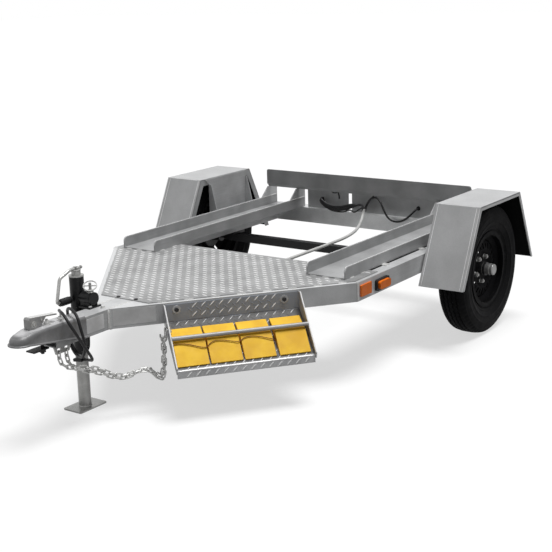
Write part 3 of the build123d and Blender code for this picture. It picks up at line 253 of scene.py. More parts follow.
A_TURN = math.radians(38.2)
MILL = (0.57, 0.575, 0.58)
SHEET = (0.53, 0.535, 0.54)
LOOKS = {
    "mill": metal("mill_aluminium", MILL, 0.42, 0.15, 0.0),
    # Painted light: the cross members are a brighter copy of the mill, offsetting the shade they
    # lie in
    "mill_across": metal("mill_aluminium_across_painted_light", shade(MILL, 1.35), 0.36, 0.5, math.pi / 2),
    # Painted highlight: top makes the A-tubes' faces that look up brighter
    "mill_left": metal("mill_aluminium_left_painted_highlight", MILL, 0.42, 0.15, A_TURN, top=1.18),
    "mill_right": metal("mill_aluminium_right_painted_highlight", MILL, 0.42, 0.15, -A_TURN, top=1.18),
    # Painted shade: the channels are a darker copy of the sheet
    "channel": metal("channel_aluminium_painted_shade", shade(SHEET, 0.76), 0.42, 0.15, 0.0, 0.14),
    "sheet": metal("sheet_aluminium", SHEET, 0.4, 0.15, 0.0, 0.14),
    # Painted shade: the beam and the lamp plates are a darker copy of the sheet
    "beam": metal("beam_aluminium_painted_shade", shade(SHEET, 0.8), 0.42, 0.12, math.pi / 2, 0.16),
    "fender": metal("fender_sheet", shade(SHEET, 0.94), 0.42, 0.15, None, 0.08, 0.2),
    "tread": metal("tread_plate", (0.34, 0.342, 0.344), 0.4, 0.2, None, 0.2),
    # Painted shade: near black on the rack's floor, a darker cool grey on its back against yellow
    # bounce
    "rack": metal(
        "rack_tread_plate_painted_shade", (0.76, 0.765, 0.775), 0.5, 0.1, None, 0.16,
        shade_bands=((0.196, (0.075, 0.074, 0.073)), (0.326, (0.32, 0.35, 0.405))),
    ),
    "bar": metal("rack_bar_aluminium", (0.38, 0.38, 0.385), 0.4, 0.2, A_TURN),
    # Painted glints: lugs that catch the light are near white, and a lighter grey on the rack's
    # floor
    "lug": metal("tread_lugs_painted_glint", (0.99, 0.99, 0.99), 0.24, 0.15, None, 0.05, 0.08),
    "rack_lug": metal("rack_lugs_painted_highlight", (0.56, 0.56, 0.57), 0.42, 0.12, None, 0.1, 0.1),
    "weld": metal("weld_bead", (0.62, 0.62, 0.61), 0.34, 0.35, None, 0.3),
    "bright": metal("bright_zinc", (0.66, 0.66, 0.65), 0.22, 0.55, None, 0.15),
    # Painted highlight: near-white strips along folds and edges
    "edge": metal("painted_highlight_edge", (0.97, 0.97, 0.97), 0.34, 0.1, None, 0.08, 0.1),
    "galvanised": metal("dark_axle_steel", (0.016, 0.016, 0.017), 0.45, 0.1, None, 0.3),
    "zinc": metal("zinc_plate", (0.42, 0.42, 0.41), 0.33, 0.5, None, 0.25),
    "chain": metal("chain_zinc", (0.5, 0.5, 0.49), 0.26, 0.6, None, 0.3),
    "label": painted("blank_label", (0.86, 0.86, 0.86), 0.35, 0, 0.00005, 60),
    "lever": metal("lever_plate", (0.3, 0.3, 0.3), 0.34, 0.4, None, 0.3),
    # Painted highlight: top makes the coupler's faces that look up much brighter
    "coupler": metal("coupler_plate_painted_highlight", (0.2, 0.2, 0.203), 0.42, 0.25, None, 0.3, top=2.7),
    "rim": painted("rim_paint", (0.006, 0.006, 0.0065), 0.6, 0.15, gloss=0.04, dusty=0.06),
    # Painted shade: a near-black sheet inside the fenders and under the channels' feet
    "painted_shade_sheet": painted("painted_shade_sheet", (0.01, 0.01, 0.01), 0.8, 0, 0.0006, 60, 0.05, 0.1),
    "black": painted("black_paint", (0.01, 0.01, 0.011), 0.36, 0.3, gloss=0.22, dusty=0.12),
    "rubber": painted("tyre_rubber", (0.007, 0.007, 0.0075), 0.75, 0, 0.0004, 90, 0.07, 0.12),
    "yellow": painted("yellow_plastic", (0.97, 0.55, 0.032), 0.5, 0, 0.0003, gloss=0.25, dusty=0.1),
    "plastic": painted("black_plastic", (0.01, 0.01, 0.011), 0.5, 0, 0.0002, 300, 0.25, 0.1),
    "jacket": painted("black_jacket", (0.008, 0.008, 0.009), 0.42, 0, 0.0002, 200, 0.25, 0.05),
    "conduit": painted("grey_conduit", (0.56, 0.56, 0.55), 0.5, 0, 0.0002, 200),
    "white": painted("blank_plate", (0.7, 0.7, 0.69), 0.4, 0, 0.0001),
    "brown": painted("brown_cord", (0.2, 0.075, 0.03), 0.7, 0, 0.0003, 900),
    "amber": lens("amber_lens", (0.98, 0.19, 0.01)),
    "red": lens("red_lens", (0.5, 0.008, 0.008)),
}
NODE_LOOKS = {
    "mill": "tongue_tube side_rail_left side_rail_right",
    "mill_across": "deck_cross_member rear_cross_member",
    "mill_left": "a_frame_tube_left",
    "mill_right": "a_frame_tube_right",
    "bar": "rack_bar",
    "channel": "skid_channel_left skid_channel_right",
    "sheet": "beam_gussets_left beam_gussets_right fender_bracket_left fender_bracket_right "
             "rack_sides",
    "beam": "backstop_beam lamp_plates",
    "fender": "fender_left fender_right",
    "tread": "deck_plate",
    "rack": "chock_rack",
    "galvanised": "axle axle_saddles hub_left hub_right",
    "lever": "coupler_lever hub_cap_left hub_cap_right",
    "zinc": "chain_anchor jack_leg jack_foot jack_cap jack_crank jack_pull_pin",
    "chain": "safety_chain_left safety_chain_right chain_hooks",
    "coupler": "coupler_body",
    "black": "jack_tube jack_bracket coupler_clamp",
    "rim": "rim_left rim_right",
    "rubber": "tyre_left tyre_right",
    "yellow": "wheel_chocks",
    "amber": "marker_lenses side_reflectors",
    "red": "tail_lamps",
    "plastic": "marker_bases jack_grip lead_plug lead_grommet conduit_boot",
    "conduit": "wiring_conduit",
    "white": "licence_plate",
}


for look, names in NODE_LOOKS.items():
    for name in names.split():
        slots = NODES[name].data.materials
        slots.clear()
        slots.append(LOOKS[look])


# ---- making pieces
UP = Vector((0, 0, 1))
FORWARD = Vector((1, 0, 0))
LEFT = Vector((0, 1, 0))
SIDES = {"left": 1, "right": -1}


def pose(place, along, twist=0.0):
    """A matrix whose Z points along a direction, turned about it by twist."""
    turned = along.to_track_quat("Z", "Y").to_matrix().to_4x4()
    return Matrix.Translation(place) @ turned @ Matrix.Rotation(twist, 4, "Z")


def axes(place, x_way, z_way):
    """A matrix at a place with its X along one direction and its Z near another."""
    x = x_way.normalized()
    y = z_way.cross(x).normalized()
    return Matrix.Translation(place) @ Matrix((x, y, x.cross(y))).transposed().to_4x4()


def polar(radius, turn, height):
    """A place round a Z axis: out from it, turned about it, along it."""
    return Vector((radius * math.cos(turn), radius * math.sin(turn), height)) / 1000


def skin(bm, rings, closed=True):
    """Faces between rings of vertices, where a ring of one vertex is a point."""
    for first, second in zip(rings, rings[1:]):
        count = max(len(first), len(second))
        for index in range(count if closed else count - 1):
            after = (index + 1) % count
            corners = (first[index % len(first)], first[after % len(first)],
                       second[after % len(second)], second[index % len(second)])
            bm.faces.new(list(dict.fromkeys(corners)))


def lathe(bm, profile, matrix, sides=24):
    """Turns a profile of (radius, height) points about the matrix's Z; radius 0 closes an end."""
    turns = [2 * math.pi * index / sides for index in range(sides)]
    skin(bm, [[bm.verts.new(matrix @ polar(radius, turn, height))
               for turn in (turns if radius else (0,))] for radius, height in profile])


def soften(bm, corners, reach, segments):
    """Rounds the edges between these vertices."""
    edges = list({edge for corner in corners for edge in corner.link_edges})
    bmesh.ops.bevel(bm, geom=edges, offset=reach / 1000, segments=segments, affect="EDGES",
                    clamp_overlap=True)


def block(bm, size, matrix, edge):
    """A plate or bar with its edges taken off, centred on the matrix."""
    scale = Matrix.Diagonal((*(part / 1000 for part in size), 1))
    soften(bm, bmesh.ops.create_cube(bm, size=1, matrix=matrix @ scale)["verts"], edge, 2)


def tube(bm, points, radius, sides=8, ripple=0.0):
    """A closed tube along places; ripple swells every other ring, as a weld bead does."""
    rings = []
    last = len(points) - 1
    for index, point in enumerate(points):
        way = points[min(index + 1, last)] - points[max(index - 1, 0)]
        turned = way.to_track_quat("Z", "Y").to_matrix()
        reach = radius * (0.6 if index in (0, last) else 1 + ripple * (index % 2))
        rings.append([bm.verts.new(point + turned @ polar(reach, 2 * math.pi * side / sides, 0))
                      for side in range(sides)])
    skin(bm, rings)
    bm.faces.new(rings[0][::-1])
    bm.faces.new(rings[-1])


def bar(bm, start, end, count, radius, sides=6, ripple=0.0):
    """A straight tube of this many steps."""
    places = [start.lerp(end, index / count) for index in range(count + 1)]
    tube(bm, places, radius, sides, ripple)


def bead(bm, start, end, radius, step=4):
    """A straight weld bead with its ripples."""
    bar(bm, start, end, max(3, int((end - start).length / (step / 1000))), radius, ripple=0.3)


def smooth_points(points, steps=7):
    """Points along a smooth curve through the given ones."""
    full = [points[0] * 2 - points[1], *points, points[-1] * 2 - points[-2]]
    made = []
    for a, b, c, d in zip(full, full[1:], full[2:], full[3:]):
        for step in range(steps):
            t = step / steps
            made.append(0.5 * (2 * b + (c - a) * t + (2 * a - 5 * b + 4 * c - d) * t**2
                               + (3 * b - a - 3 * c + d) * t**3))
    return [*made, points[-1]]


def hexagon(bm, across, height, matrix):
    """A nut or bolt head: six flats with its top corners turned off."""
    half = across / math.sqrt(3)
    lathe(bm, [(half, 0), (half, height * 0.82), (half * 0.88, height), (0, height)], matrix, 6)


def bolt(bm, place, way, across, height, washer=True, stem=0):
    """A hex head on its washer, with a threaded end past it where stem is given."""
    post = pose(place, way)
    lift = 2 if washer else 0
    if washer:
        rim = across * 0.85
        lathe(bm, [(0, -1), (rim, -1), (rim, lift * 0.7), (across * 0.78, lift), (0, lift)],
              post, 20)
    hexagon(bm, across, height, pose(place + way.normalized() * (lift / 1000), way, 0.3))
    if stem:
        base = lift + height
        turns = [(across * 0.27 - 0.5 * (step % 2), base + stem * step / 8) for step in range(9)]
        lathe(bm, [*turns, (across * 0.2, base + stem + 1), (0, base + stem + 1)], post, 12)


def make(name, bm, look, body="frame", angle=35):
    """Turns a mesh under construction into a piece that rides on a body."""
    bmesh.ops.remove_doubles(bm, verts=bm.verts, dist=1e-6)
    bmesh.ops.recalc_face_normals(bm, faces=bm.faces)
    mesh = bpy.data.meshes.new(name)
    bm.to_mesh(mesh)
    bm.free()
    for polygon in mesh.polygons:
        polygon.use_smooth = True
    mesh.set_sharp_from_angle(angle=math.radians(angle))
    mesh.materials.append(LOOKS[look])
    piece = link(name, mesh)
    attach(piece, body)
    return piece


# ---- cords
LOOM_LEFT = [
    (-302, -7.2, 430.5), (-317, -13.8, 435.7), (-331, -8, 458), (-332, 14, 483), (-324, 48, 485),
    (-311, 77, 460), (-303, 99, 421), (-301, 124, 388), (-303, 160, 376), (-305, 200, 385),
    (-305, 233, 409), (-313, 256, 435), (-330, 263, 446), (-347, 263, 446),
]
LOOM_RIGHT = [
    (-297.6, -16.8, 430.4), (-310, -22.3, 434.7), (-320, -42, 443), (-318, -74, 435),
    (-311, -114, 416), (-309, -158, 405), (-309, -204, 403), (-308, -242, 413),
    (-309, -269, 431), (-318, -285, 444), (-333, -289, 448), (-347, -289, 448),
]
LEAD = [
    (1668, 0, 312), (1668, 0, 286), (1669, -4, 262), (1674, -22, 241), (1681, -48, 241),
    (1687, -65, 262), (1690, -66, 294), (1693, -66, 332), (1698, -64, 374), (1714, -52, 413),
    (1740, -14, 432), (1760, 28, 432), (1775, 61, 417), (1778, 74, 382), (1765, 74, 338),
    (1752, 66, 296), (1739, 41, 261), (1724, 8, 246), (1712, -26, 249), (1705, -54, 273),
    (1706, -65, 312), (1713, -66, 358), (1732, -62, 401), (1762, -42, 426), (1795, -6, 436),
    (1819, 36, 438), (1831, 68, 420), (1821, 86, 384), (1797, 90, 342), (1770, 90, 300),
    (1742, 84, 264), (1718, 62, 242), (1704, 30, 235), (1704, 2, 231),
]
# The lanyard's points lie so far along the rack, so far down its floor and so high over it
LANYARD = [
    (758, 127, 27.5), (742, 125.5, 27.5), (716, 128, 27.2), (688, 136, 25.4), (660, 147, 23.2),
    (641, 152, 22.4), (630, 147, 22.8), (620, 136, 26), (600, 128, 27.4), (570, 131, 26.8),
    (538, 139, 25), (516, 145, 24.8), (505, 140, 25.2), (494, 131, 26.6), (470, 127, 27.6),
    (436, 132, 26.6), (406, 143, 24.4), (387, 150, 24.2), (378.5, 152, 17), (377.6, 154, 8),
    (378, 154, 0),
]

# The rack lies along the left A-tube's outer face
FRAME_CORNER = (840, 634)
FRAME_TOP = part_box("tongue_tube")[1][2] * 1000
RACK_START, RACK_END, RACK_DEPTH = 240, 758, 185
RACK_TOP, RACK_BEND = FRAME_TOP - 7, FRAME_TOP - 75
RACK_SHEET = 3.2
FLOOR_ANGLE = math.radians(35.3)
RACK_TIP = RACK_BEND - RACK_DEPTH * math.tan(FLOOR_ANGLE)


def face_spot(along, out, up):
    """A place beside the left A-tube: along its outer face, out from it, above the ground."""
    return spot(
        FRAME_CORNER[0] + along * math.cos(A_TURN) + out * math.sin(A_TURN),
        FRAME_CORNER[1] - along * math.sin(A_TURN) + out * math.cos(A_TURN),
        up,
    )


def rack_spot(along, down, height):
    """A place over the rack's floor: along the A-tube, down the slope and square to the floor."""
    rise = height + RACK_SHEET
    out = down * math.cos(FLOOR_ANGLE) + rise * math.sin(FLOOR_ANGLE)
    up = RACK_BEND - down * math.sin(FLOOR_ANGLE) + rise * math.cos(FLOOR_ANGLE)
    return face_spot(along, out, up)


TUBE_ALONG = face_spot(1, 0, 0) - face_spot(0, 0, 0)
TUBE_OUT = face_spot(0, 1, 0) - face_spot(0, 0, 0)


def free_cord(name, points, radius, look, slot, length, far_end, stiffness, with_pieces):
    """A cord along a smooth line that has these points as its control points."""
    data = bpy.data.curves.new(name + "_line", "CURVE")
    data.dimensions = "3D"
    data.bevel_depth = radius
    data.bevel_resolution = 4
    data.use_fill_caps = True
    data.resolution_u = 8
    spline = data.splines.new("NURBS")
    spline.points.add(len(points) - 1)
    for point, place in zip(spline.points, points):
        point.co = (*place, 1)
    spline.order_u = 3
    spline.use_endpoint_u = True
    data.materials.append(LOOKS[look])
    cord = link(data.name, data)
    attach(cord, "frame")
    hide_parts(name)


JACKET = ("jacket", "black_jacket")
PLUG = [NODES["lead_plug"]]
CORD = ("brown", "brown_cord")
for name, place, route, *facts in (
    # the rest is radius, look, slot, length, far end, stiffness and the pieces on it
    ("tail_loom_left", spot, LOOM_LEFT, 0.005, *JACKET, 0.424, "object", "medium", []),
    ("tail_loom_right", spot, LOOM_RIGHT, 0.005, *JACKET, 0.328, "object", "medium", []),
    ("trailer_lead", spot, LEAD, 0.0055, *JACKET, 1.292, "plug", "limp", PLUG),
    ("chock_lanyard", rack_spot, LANYARD, 0.0015, *CORD, 0.419, "object", "limp", []),
):
    free_cord(name, [place(*point) for point in route], *facts)


# ---- tread plate
# In metres, but for the bolts, which lie so many millimetres along the A-tube and up
LUG_PITCH = 0.034
LUG_HALF_LENGTH, LUG_HALF_WIDTH = 0.0145, 0.0033
LUG_HEIGHT, LUG_SUNK = 0.0013, 0.0002
LUG_OUTLINE = ((1, 0), (0.55, 0.8), (0, 1), (-0.55, 0.8), (-1, 0), (-0.55, -0.8), (0, -1),
               (0.55, -0.8))
DECK_INSET = 0.017
RACK_BOLTS = ((714, 370), (299, 366))


def lug(bm, matrix):
    """One raised lug: a long low lens, its X along the lug and its Z off the plate."""
    rings = [
        [bm.verts.new(matrix @ Vector((length * x, width * y, height))) for x, y in LUG_OUTLINE]
        for length, width, height in (
            (LUG_HALF_LENGTH, LUG_HALF_WIDTH, -LUG_SUNK),
            (0.82 * LUG_HALF_LENGTH, 0.45 * LUG_HALF_WIDTH, LUG_HEIGHT),
        )
    ]
    skin(bm, rings)
    bm.faces.new(rings[1])
    bm.faces.new(rings[0][::-1])


def lugs(painted_glints, dull, plane, low, high, inside, slim=1.0):
    """Crossed lugs over the plane's X and Y from low to high, where inside says there is plate.

    Lugs that lean one way go into the first mesh, for a painted glint; the others stay dull.
    """
    leaning = ((painted_glints, 0, math.pi / 4, 1), (dull, 0.5, -math.pi / 4, 0.5))
    columns, rows = (
        range(math.ceil(low[side] / LUG_PITCH), math.floor(high[side] / LUG_PITCH) + 1)
        for side in (0, 1)
    )
    for column in columns:
        for row in rows:
            for bm, shift, turn, tall in leaning:
                x, y = (column + shift) * LUG_PITCH, (row + shift) * LUG_PITCH
                if inside(x, y):
                    turned = Matrix.Translation((x, y, 0)) @ Matrix.Rotation(turn, 4, "Z")
                    lug(bm, plane @ turned @ Matrix.Diagonal((1, slim, tall, 1)))


def deck_lugs():
    low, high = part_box("deck_plate")
    half = FRAME_CORNER[1] / 1000
    corner_x = ahead(FRAME_CORNER[0])
    side_end = corner_x - DECK_INSET * math.tan(A_TURN / 2)
    plane = Matrix.Translation((corner_x, -half, high[2])) @ Matrix.Rotation(A_TURN, 4, "Z")
    margin = LUG_HALF_LENGTH
    channels = [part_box("skid_channel_left"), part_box("skid_channel_right")]

    def on_plate(x, y):
        place = plane @ Vector((x, y, 0))
        taper = max(0.0, place.x - side_end) * math.tan(A_TURN)
        return (
            low[0] + margin <= place.x <= high[0] - margin
            and half - DECK_INSET - abs(place.y) - taper >= margin / math.cos(A_TURN)
            and not any(
                place.x < last[0] + margin and first[1] - margin < place.y < last[1] + margin
                for first, last in channels
            )
        )

    painted_glints, dull = bmesh.new(), bmesh.new()
    lugs(painted_glints, dull, plane, (-1.2, -0.4), (1.4, 1.4), on_plate)
    # The glinting lugs are painted near white, a painted glint; the others keep the plate's colour
    make("deck_lugs", painted_glints, "lug")
    make("deck_lugs_dull", dull, "tread")


def rack_lugs():
    painted_glints, dull, upright = bmesh.new(), bmesh.new(), bmesh.new()
    margin = LUG_HALF_LENGTH + 0.002
    low, high = RACK_START / 1000 + margin, RACK_END / 1000 - margin
    off_floor = rack_spot(0, 0, 1) - rack_spot(0, 0, 0)
    floor = axes(rack_spot(0, 13, 0), TUBE_ALONG, off_floor)
    back = axes(face_spot(0, RACK_SHEET, RACK_TOP - 10), TUBE_ALONG, TUBE_OUT)
    lip = axes(face_spot(0, RACK_DEPTH + RACK_SHEET, RACK_TIP - 13), TUBE_ALONG, TUBE_OUT)
    floor_end = RACK_DEPTH / 1000 / math.cos(FLOOR_ANGLE) - 0.022

    def within(depth):
        return lambda x, y: low < x < high and y < depth

    def beside_bolts(x, y):
        clear = all(abs(x - along / 1000) > LUG_PITCH for along, _ in RACK_BOLTS)
        return clear and within(0.045)(x, y)

    lugs(painted_glints, dull, floor, (0, 0), (0.8, 0.3), within(floor_end), 0.6)
    lugs(upright, dull, back, (0, 0), (0.8, 0.06), beside_bolts, 0.7)
    lugs(upright, dull, lip, (0, 0), (0.8, 0.004), within(0.01))
    # Painted glints: the floor's glinting lugs lighter than the floor, the upright ones near white
    make("rack_lugs", painted_glints, "rack_lug")
    make("rack_upright_lugs", upright, "lug")
    make("rack_lugs_dull", dull, "rack")


deck_lugs()
rack_lugs()


# ---- wheels
tyre_low, tyre_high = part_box("tyre_left")
TYRE_RADIUS = tyre_high[2] / 2
WHEEL_OUT = (tyre_low[1] + tyre_high[1]) / 2
# How often the tread repeats round the tyre, and how its grooves lean in each pitch
TREAD_PITCHES = 72
ZIGZAG = (0, 2.2, 0, -2.2)
# Half of the tyre's section: the tread's radius, its grooves as places across and as places and
# depths about their middles, and then (radius, across) from the shoulder to the bead
CROWN = 286
GROOVES = (9.5, 28.5)
GROOVE_SECTION = ((-3.8, 0), (-2.6, 1.2), (-1.8, 6.5), (1.8, 6.5), (2.6, 1.2), (3.8, 0))
SHOULDER = ((282.2, 42), (280.6, 46.2))
NOTCHES = ((278, 50), (274.2, 53.4), (271.2, 55.6))
SIDEWALL = (
    (267.2, 58.4), (265.5, 59.4), (264.8, 59.2), (261, 61.2), (254, 63.7), (246, 65.2), (238, 66),
    (237.2, 66.5), (235.2, 66.5), (234.5, 66.1), (228, 66.2), (220, 65.8), (211, 64.4),
    (210.2, 65), (208, 64.8), (207.2, 63.6), (199, 61), (191, 57.6), (186, 55.2), (185, 56),
    (183, 55.6), (182, 53.6), (177.5, 51.2), (174, 48.8), (171.6, 47.6), (166, 46.8), (153, 42),
)


def wheel_matrix(side):
    """The wheel's own axes: Z outwards along the spindle, the origin at the wheel's middle."""
    place = Vector((AXLE_X, SIDES[side] * WHEEL_OUT, TYRE_RADIUS))
    return Matrix.Translation(place) @ Matrix.Rotation(-SIDES[side] * math.pi / 2, 4, "X")


def tyre_half():
    """Half of the tyre's section as (radius, across, kind), from the tread's middle to the bead."""
    section = [(CROWN, 0, "flat")]
    for groove in GROOVES:
        for across, drop in GROOVE_SECTION:
            place = groove + across
            section.append((CROWN - max(0, place - 20.5) * 0.18 - drop, place, "tread"))
    for kind, places in (("flat", SHOULDER), ("notch", NOTCHES), ("flat", SIDEWALL)):
        section += [(radius, across, kind) for radius, across in places]
    return section


def make_tyre(side):
    half = tyre_half()
    section = [*half, *((radius, -across, kind) for radius, across, kind in reversed(half[1:]))]
    matrix = wheel_matrix(side)
    count = TREAD_PITCHES * len(ZIGZAG)
    bm = bmesh.new()
    rings = []
    for step in range(count):
        phase = step % len(ZIGZAG)
        ring = []
        for radius, across, kind in section:
            if kind == "tread":
                across += ZIGZAG[phase]
            if kind == "notch" and phase == 0:
                radius -= 2.2
                across -= math.copysign(1.6, across)
            ring.append(bm.verts.new(matrix @ polar(radius, 2 * math.pi * step / count, across)))
        rings.append(ring)
    skin(bm, [*rings, rings[0]])
    tyre = make("tyre_" + side + "_tread", bm, "rubber", "wheel_" + side, 50)
    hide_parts("tyre_" + side)


def make_wheel_details(side):
    """Lug nuts, the valve, the cap's lip and the rolled edge of the rim."""
    matrix = wheel_matrix(side)
    body = "wheel_" + side
    way = matrix.to_3x3() @ UP
    nuts = bmesh.new()
    for index in range(5):
        turn = 2 * math.pi * index / 5 + 0.3
        place = matrix @ polar(57.2, turn, 10)
        post = pose(place, way)
        lathe(nuts, [(0, -1), (10.5, -1), (12.5, 1.5), (10.5, 5), (0, 5)], post, 18)
        hexagon(nuts, 19, 11, pose(place + way * 0.004, way, turn))
        lathe(nuts, [(6.2, 14), (6.2, 18.5), (5, 19.5), (0, 19.5)], post, 12)
    make("lug_nuts_" + side, nuts, "zinc", body)
    cap = bmesh.new()
    lathe(cap, [(24.6, 28), (29.2, 28.2), (29.8, 29.5), (29.2, 31), (25.2, 32.5)], matrix, 40)
    lathe(cap, [(25.2, 58), (25.8, 58.8), (25.8, 60.2), (25.2, 61)], matrix, 40)
    make("cap_lip_" + side, cap, "zinc", body)
    trim = bmesh.new()
    lathe(trim, [(165, 51.4), (167.2, 52.4), (169, 51), (168.6, 49), (166.8, 48.4)], matrix, 96)
    for index in range(12):
        turn = 2 * math.pi * (index + 0.5) / 12
        bar(trim, matrix @ polar(90, turn, 24.6), matrix @ polar(112, turn, 20.6), 4, 2.2, 8)
    make("rim_edge_" + side, trim, "rim", body)
    valve = bmesh.new()
    leaning = matrix.to_3x3() @ Vector((-0.25, 0, 1))
    lathe(valve, [(0, -6), (8.5, -6), (8.5, 0), (5.8, 4), (4.6, 16), (4.6, 22), (5.4, 22.5),
                  (5.4, 32), (4, 34), (0, 34)], pose(matrix @ polar(140.5, 0, 20), leaning), 16)
    make("valve_" + side, valve, "plastic", body)


for side in SIDES:
    make_tyre(side)
    make_wheel_details(side)


# ---- coupler
COUPLER_REAR, COUPLER_RAMP, DOME_START, COUPLER_NOSE = 1716, 1850, 1958, 1986
COUPLER_HALF, NOSE_HALF, TAPER_START = 42.5, 40, 1926
REAR_TOP, COUPLER_TOP, DOME_TOP = 403.6, 409.2, 405
REAR_FOOT, NOSE_FOOT = 326, 367
SHEET_THICKNESS = 4
COUPLER_PLACES = (COUPLER_REAR, 1740, 1770, 1800, 1828, 1852, 1880, 1904, TAPER_START, 1941, 1956,
                  1971)
# The turned-out foot, as (reach out of the wall, height over the foot)
FOOT_LIP = ((4.95, 0), (4.95, 3), (4.2, 4), (2, 4.6), (0.6, 6), (0, 7.5))


def between(value, start, end, low, high):
    """Slides from low to high while value goes from start to end."""
    share = min(1.0, max(0.0, (value - start) / (end - start)))
    return low + (high - low) * share


def coupler_stations():
    """Half the coupler's plan, rear to nose: a middle place, and the way and reach out of it."""
    made = [
        (x, (0, 1), between(x, TAPER_START, COUPLER_NOSE, COUPLER_HALF, NOSE_HALF))
        for x in COUPLER_PLACES
    ]
    for step in range(11):
        turn = math.pi / 2 * (1 - step / 10)
        made.append((COUPLER_NOSE, (math.cos(turn), math.sin(turn)), NOSE_HALF))
    return made


def coupler_ring(out, share, rise):
    """One level of the coupler: how far out of the wall, how far in to the middle, its height."""
    halves = []
    for side in (1, -1):
        half = []
        for x, (ahead_part, left_part), reach in coupler_stations():
            edge_x = x + ahead_part * reach
            span = (reach + out) * (1 - share(edge_x, reach))
            half.append(spot(x + ahead_part * span, side * left_part * span, rise(x, edge_x)))
        halves.append(half)
    return [*halves[0], *reversed(halves[1][:-1])]


def coupler_foot(x):
    return between(x, COUPLER_REAR, COUPLER_NOSE, REAR_FOOT, NOSE_FOOT)


def coupler_crown(x):
    if x > COUPLER_RAMP:
        return between(x, DOME_START, COUPLER_NOSE, COUPLER_TOP, DOME_TOP)
    return between(x, COUPLER_REAR, COUPLER_RAMP, REAR_TOP, COUPLER_TOP)


def coupler_rounding(edge_x, inset):
    """How far the top's rounded edge reaches in and down; it grows into a dome at the nose."""
    share = between(edge_x, TAPER_START - 20, COUPLER_NOSE + NOSE_HALF, 0, 1)
    grown = share * share * (3 - 2 * share)
    return 12 + 28 * grown - inset, 12 + 18 * grown - inset


def coupler_levels(inset):
    """The rings of the outer face, or of the inner one where inset is the sheet's thickness."""
    rings = [
        coupler_ring(out, lambda *_: 0, lambda x, _: coupler_foot(x) + up)
        for out, up in ([(-inset, 0)] if inset else FOOT_LIP)
    ]
    arc = [math.radians(15 * step) for step in range(7)]
    shares = [(1 - math.cos(turn), 1 - math.sin(turn), 0) for turn in arc]
    for inward, down, flat in (*shares, (1, 0, 0.5), (1, 0, 1)):
        rings.append(coupler_ring(
            -inset,
            lambda edge_x, reach: between(
                flat, 0, 1, coupler_rounding(edge_x, inset)[0] * inward / (reach - inset), 1,
            ),
            lambda x, edge_x: coupler_crown(x) - inset - coupler_rounding(edge_x, inset)[1] * down,
        ))
    return rings


def coupler():
    """A pressed shell: a turned-out foot, rounded edges and a domed nose over the ball socket."""
    bm = bmesh.new()
    levels = [*reversed(coupler_levels(SHEET_THICKNESS)), *coupler_levels(0)]
    rings = [[bm.verts.new(place) for place in ring] for ring in levels]
    skin(bm, rings, closed=False)
    for end in (0, -1):
        bm.faces.new([ring[end] for ring in rings])
    bmesh.ops.remove_doubles(bm, verts=bm.verts, dist=1e-5)
    bmesh.ops.dissolve_degenerate(bm, edges=bm.edges, dist=1e-5)
    nose = pose(spot(COUPLER_NOSE, 0, 0), UP)
    lathe(bm, [(26.2, 369), (32.2, 369), (32.2, 393), (18, 399.5), (0, 399.5)], nose, 28)
    lathe(bm, [(26.2, 369), (26.2, 374), (24.5, 382), (19.5, 390), (11, 395.5), (0, 397)],
          nose, 28)
    piece = make("coupler_shell", bm, "coupler", angle=40)
    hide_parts("coupler_body")


def coupler_fittings():
    """The nuts on the coupler's top, and the lever's pivots and a bright plate along its top."""
    bm, pivots = bmesh.new(), bmesh.new()
    bolt(bm, spot(1867, 4, COUPLER_TOP), UP, 19, 9, stem=6)
    bolt(bm, spot(1799, 4, 407.2), UP, 19, 10, stem=9)
    for side in (1, -1):
        way = LEFT * side
        lathe(pivots, [(0, -1), (12.5, -1), (12.5, 1), (11.8, 1.6), (9, 1.6), (8.5, 1), (6, 1),
                       (5.5, 4), (4, 4.8), (0, 5)], pose(spot(1934, 13 * side, 424), way), 28)
        lathe(pivots, [(0, -1), (4.2, -1), (4.2, 2), (3, 2.8), (0, 3)],
              pose(spot(1899, 13 * side, 434), way), 16)
    top_way = spot(1949, 0, 451.2) - spot(1826, 0, 437.2)
    block(bm, (118, 24.5, 1.2), axes(spot(1888, 0, 444.26), top_way, UP), 0.5)
    make("coupler_fittings", bm, "bright")
    make("lever_pivots", pivots, "zinc")


coupler()
coupler_fittings()


# ---- welds
# Beads on the left half of the frame: start, end, radius and the step of the ripples
BEADS = (
    ((1598.5, 39.5, 324), (1598.5, 39.5, 397), 5.2, 6.5),
    ((1476, 38.2, 398.2), (1596, 38.2, 398.2), 2.8),
    ((1476, 38.2, 322), (1596, 38.2, 322), 2.8),
    ((840.5, 634, 324), (840.5, 634, 396.5), 2.8),
    ((839, 633, 398.2), (836, 618, 398.2), 2.5),
    *(((-343, left, 451.4), (-214, left, 451.4), 2.2) for left in (395.5, 400.5, 572, 577)),
)
# Rows of short equal beads: start, end, how many, their length and radius
STITCHES = (
    ((834, 617, 399), (1468, 118, 399), 8, 35, 2.6),
    ((838.5, 400, 401.6), (838.5, 572, 401.6), 3, 30, 2.5),
    *(((664, left, 401.6), (830, left, 401.6), 2, 30, 2.5) for left in (395.5, 577)),
    *(((-340, left, 398.6), (-326, left, 398.6), 1, 12, 2.5) for left in (395.5, 577)),
)


def frame_welds():
    """The beads and stitches, and the same again on the right half."""
    bm = bmesh.new()
    for mirror in (Vector((1, 1, 1)), Vector((1, -1, 1))):
        for start, end, *sizes in BEADS:
            bead(bm, spot(*start) * mirror, spot(*end) * mirror, *sizes)
        for start, end, count, length, radius in STITCHES:
            start, end = spot(*start) * mirror, spot(*end) * mirror
            reach = (end - start).normalized() * (length / 2000)
            for index in range(count):
                middle = start.lerp(end, (index + 0.5) / count)
                bead(bm, middle - reach, middle + reach, radius)
    make("frame_welds", bm, "weld")


frame_welds()


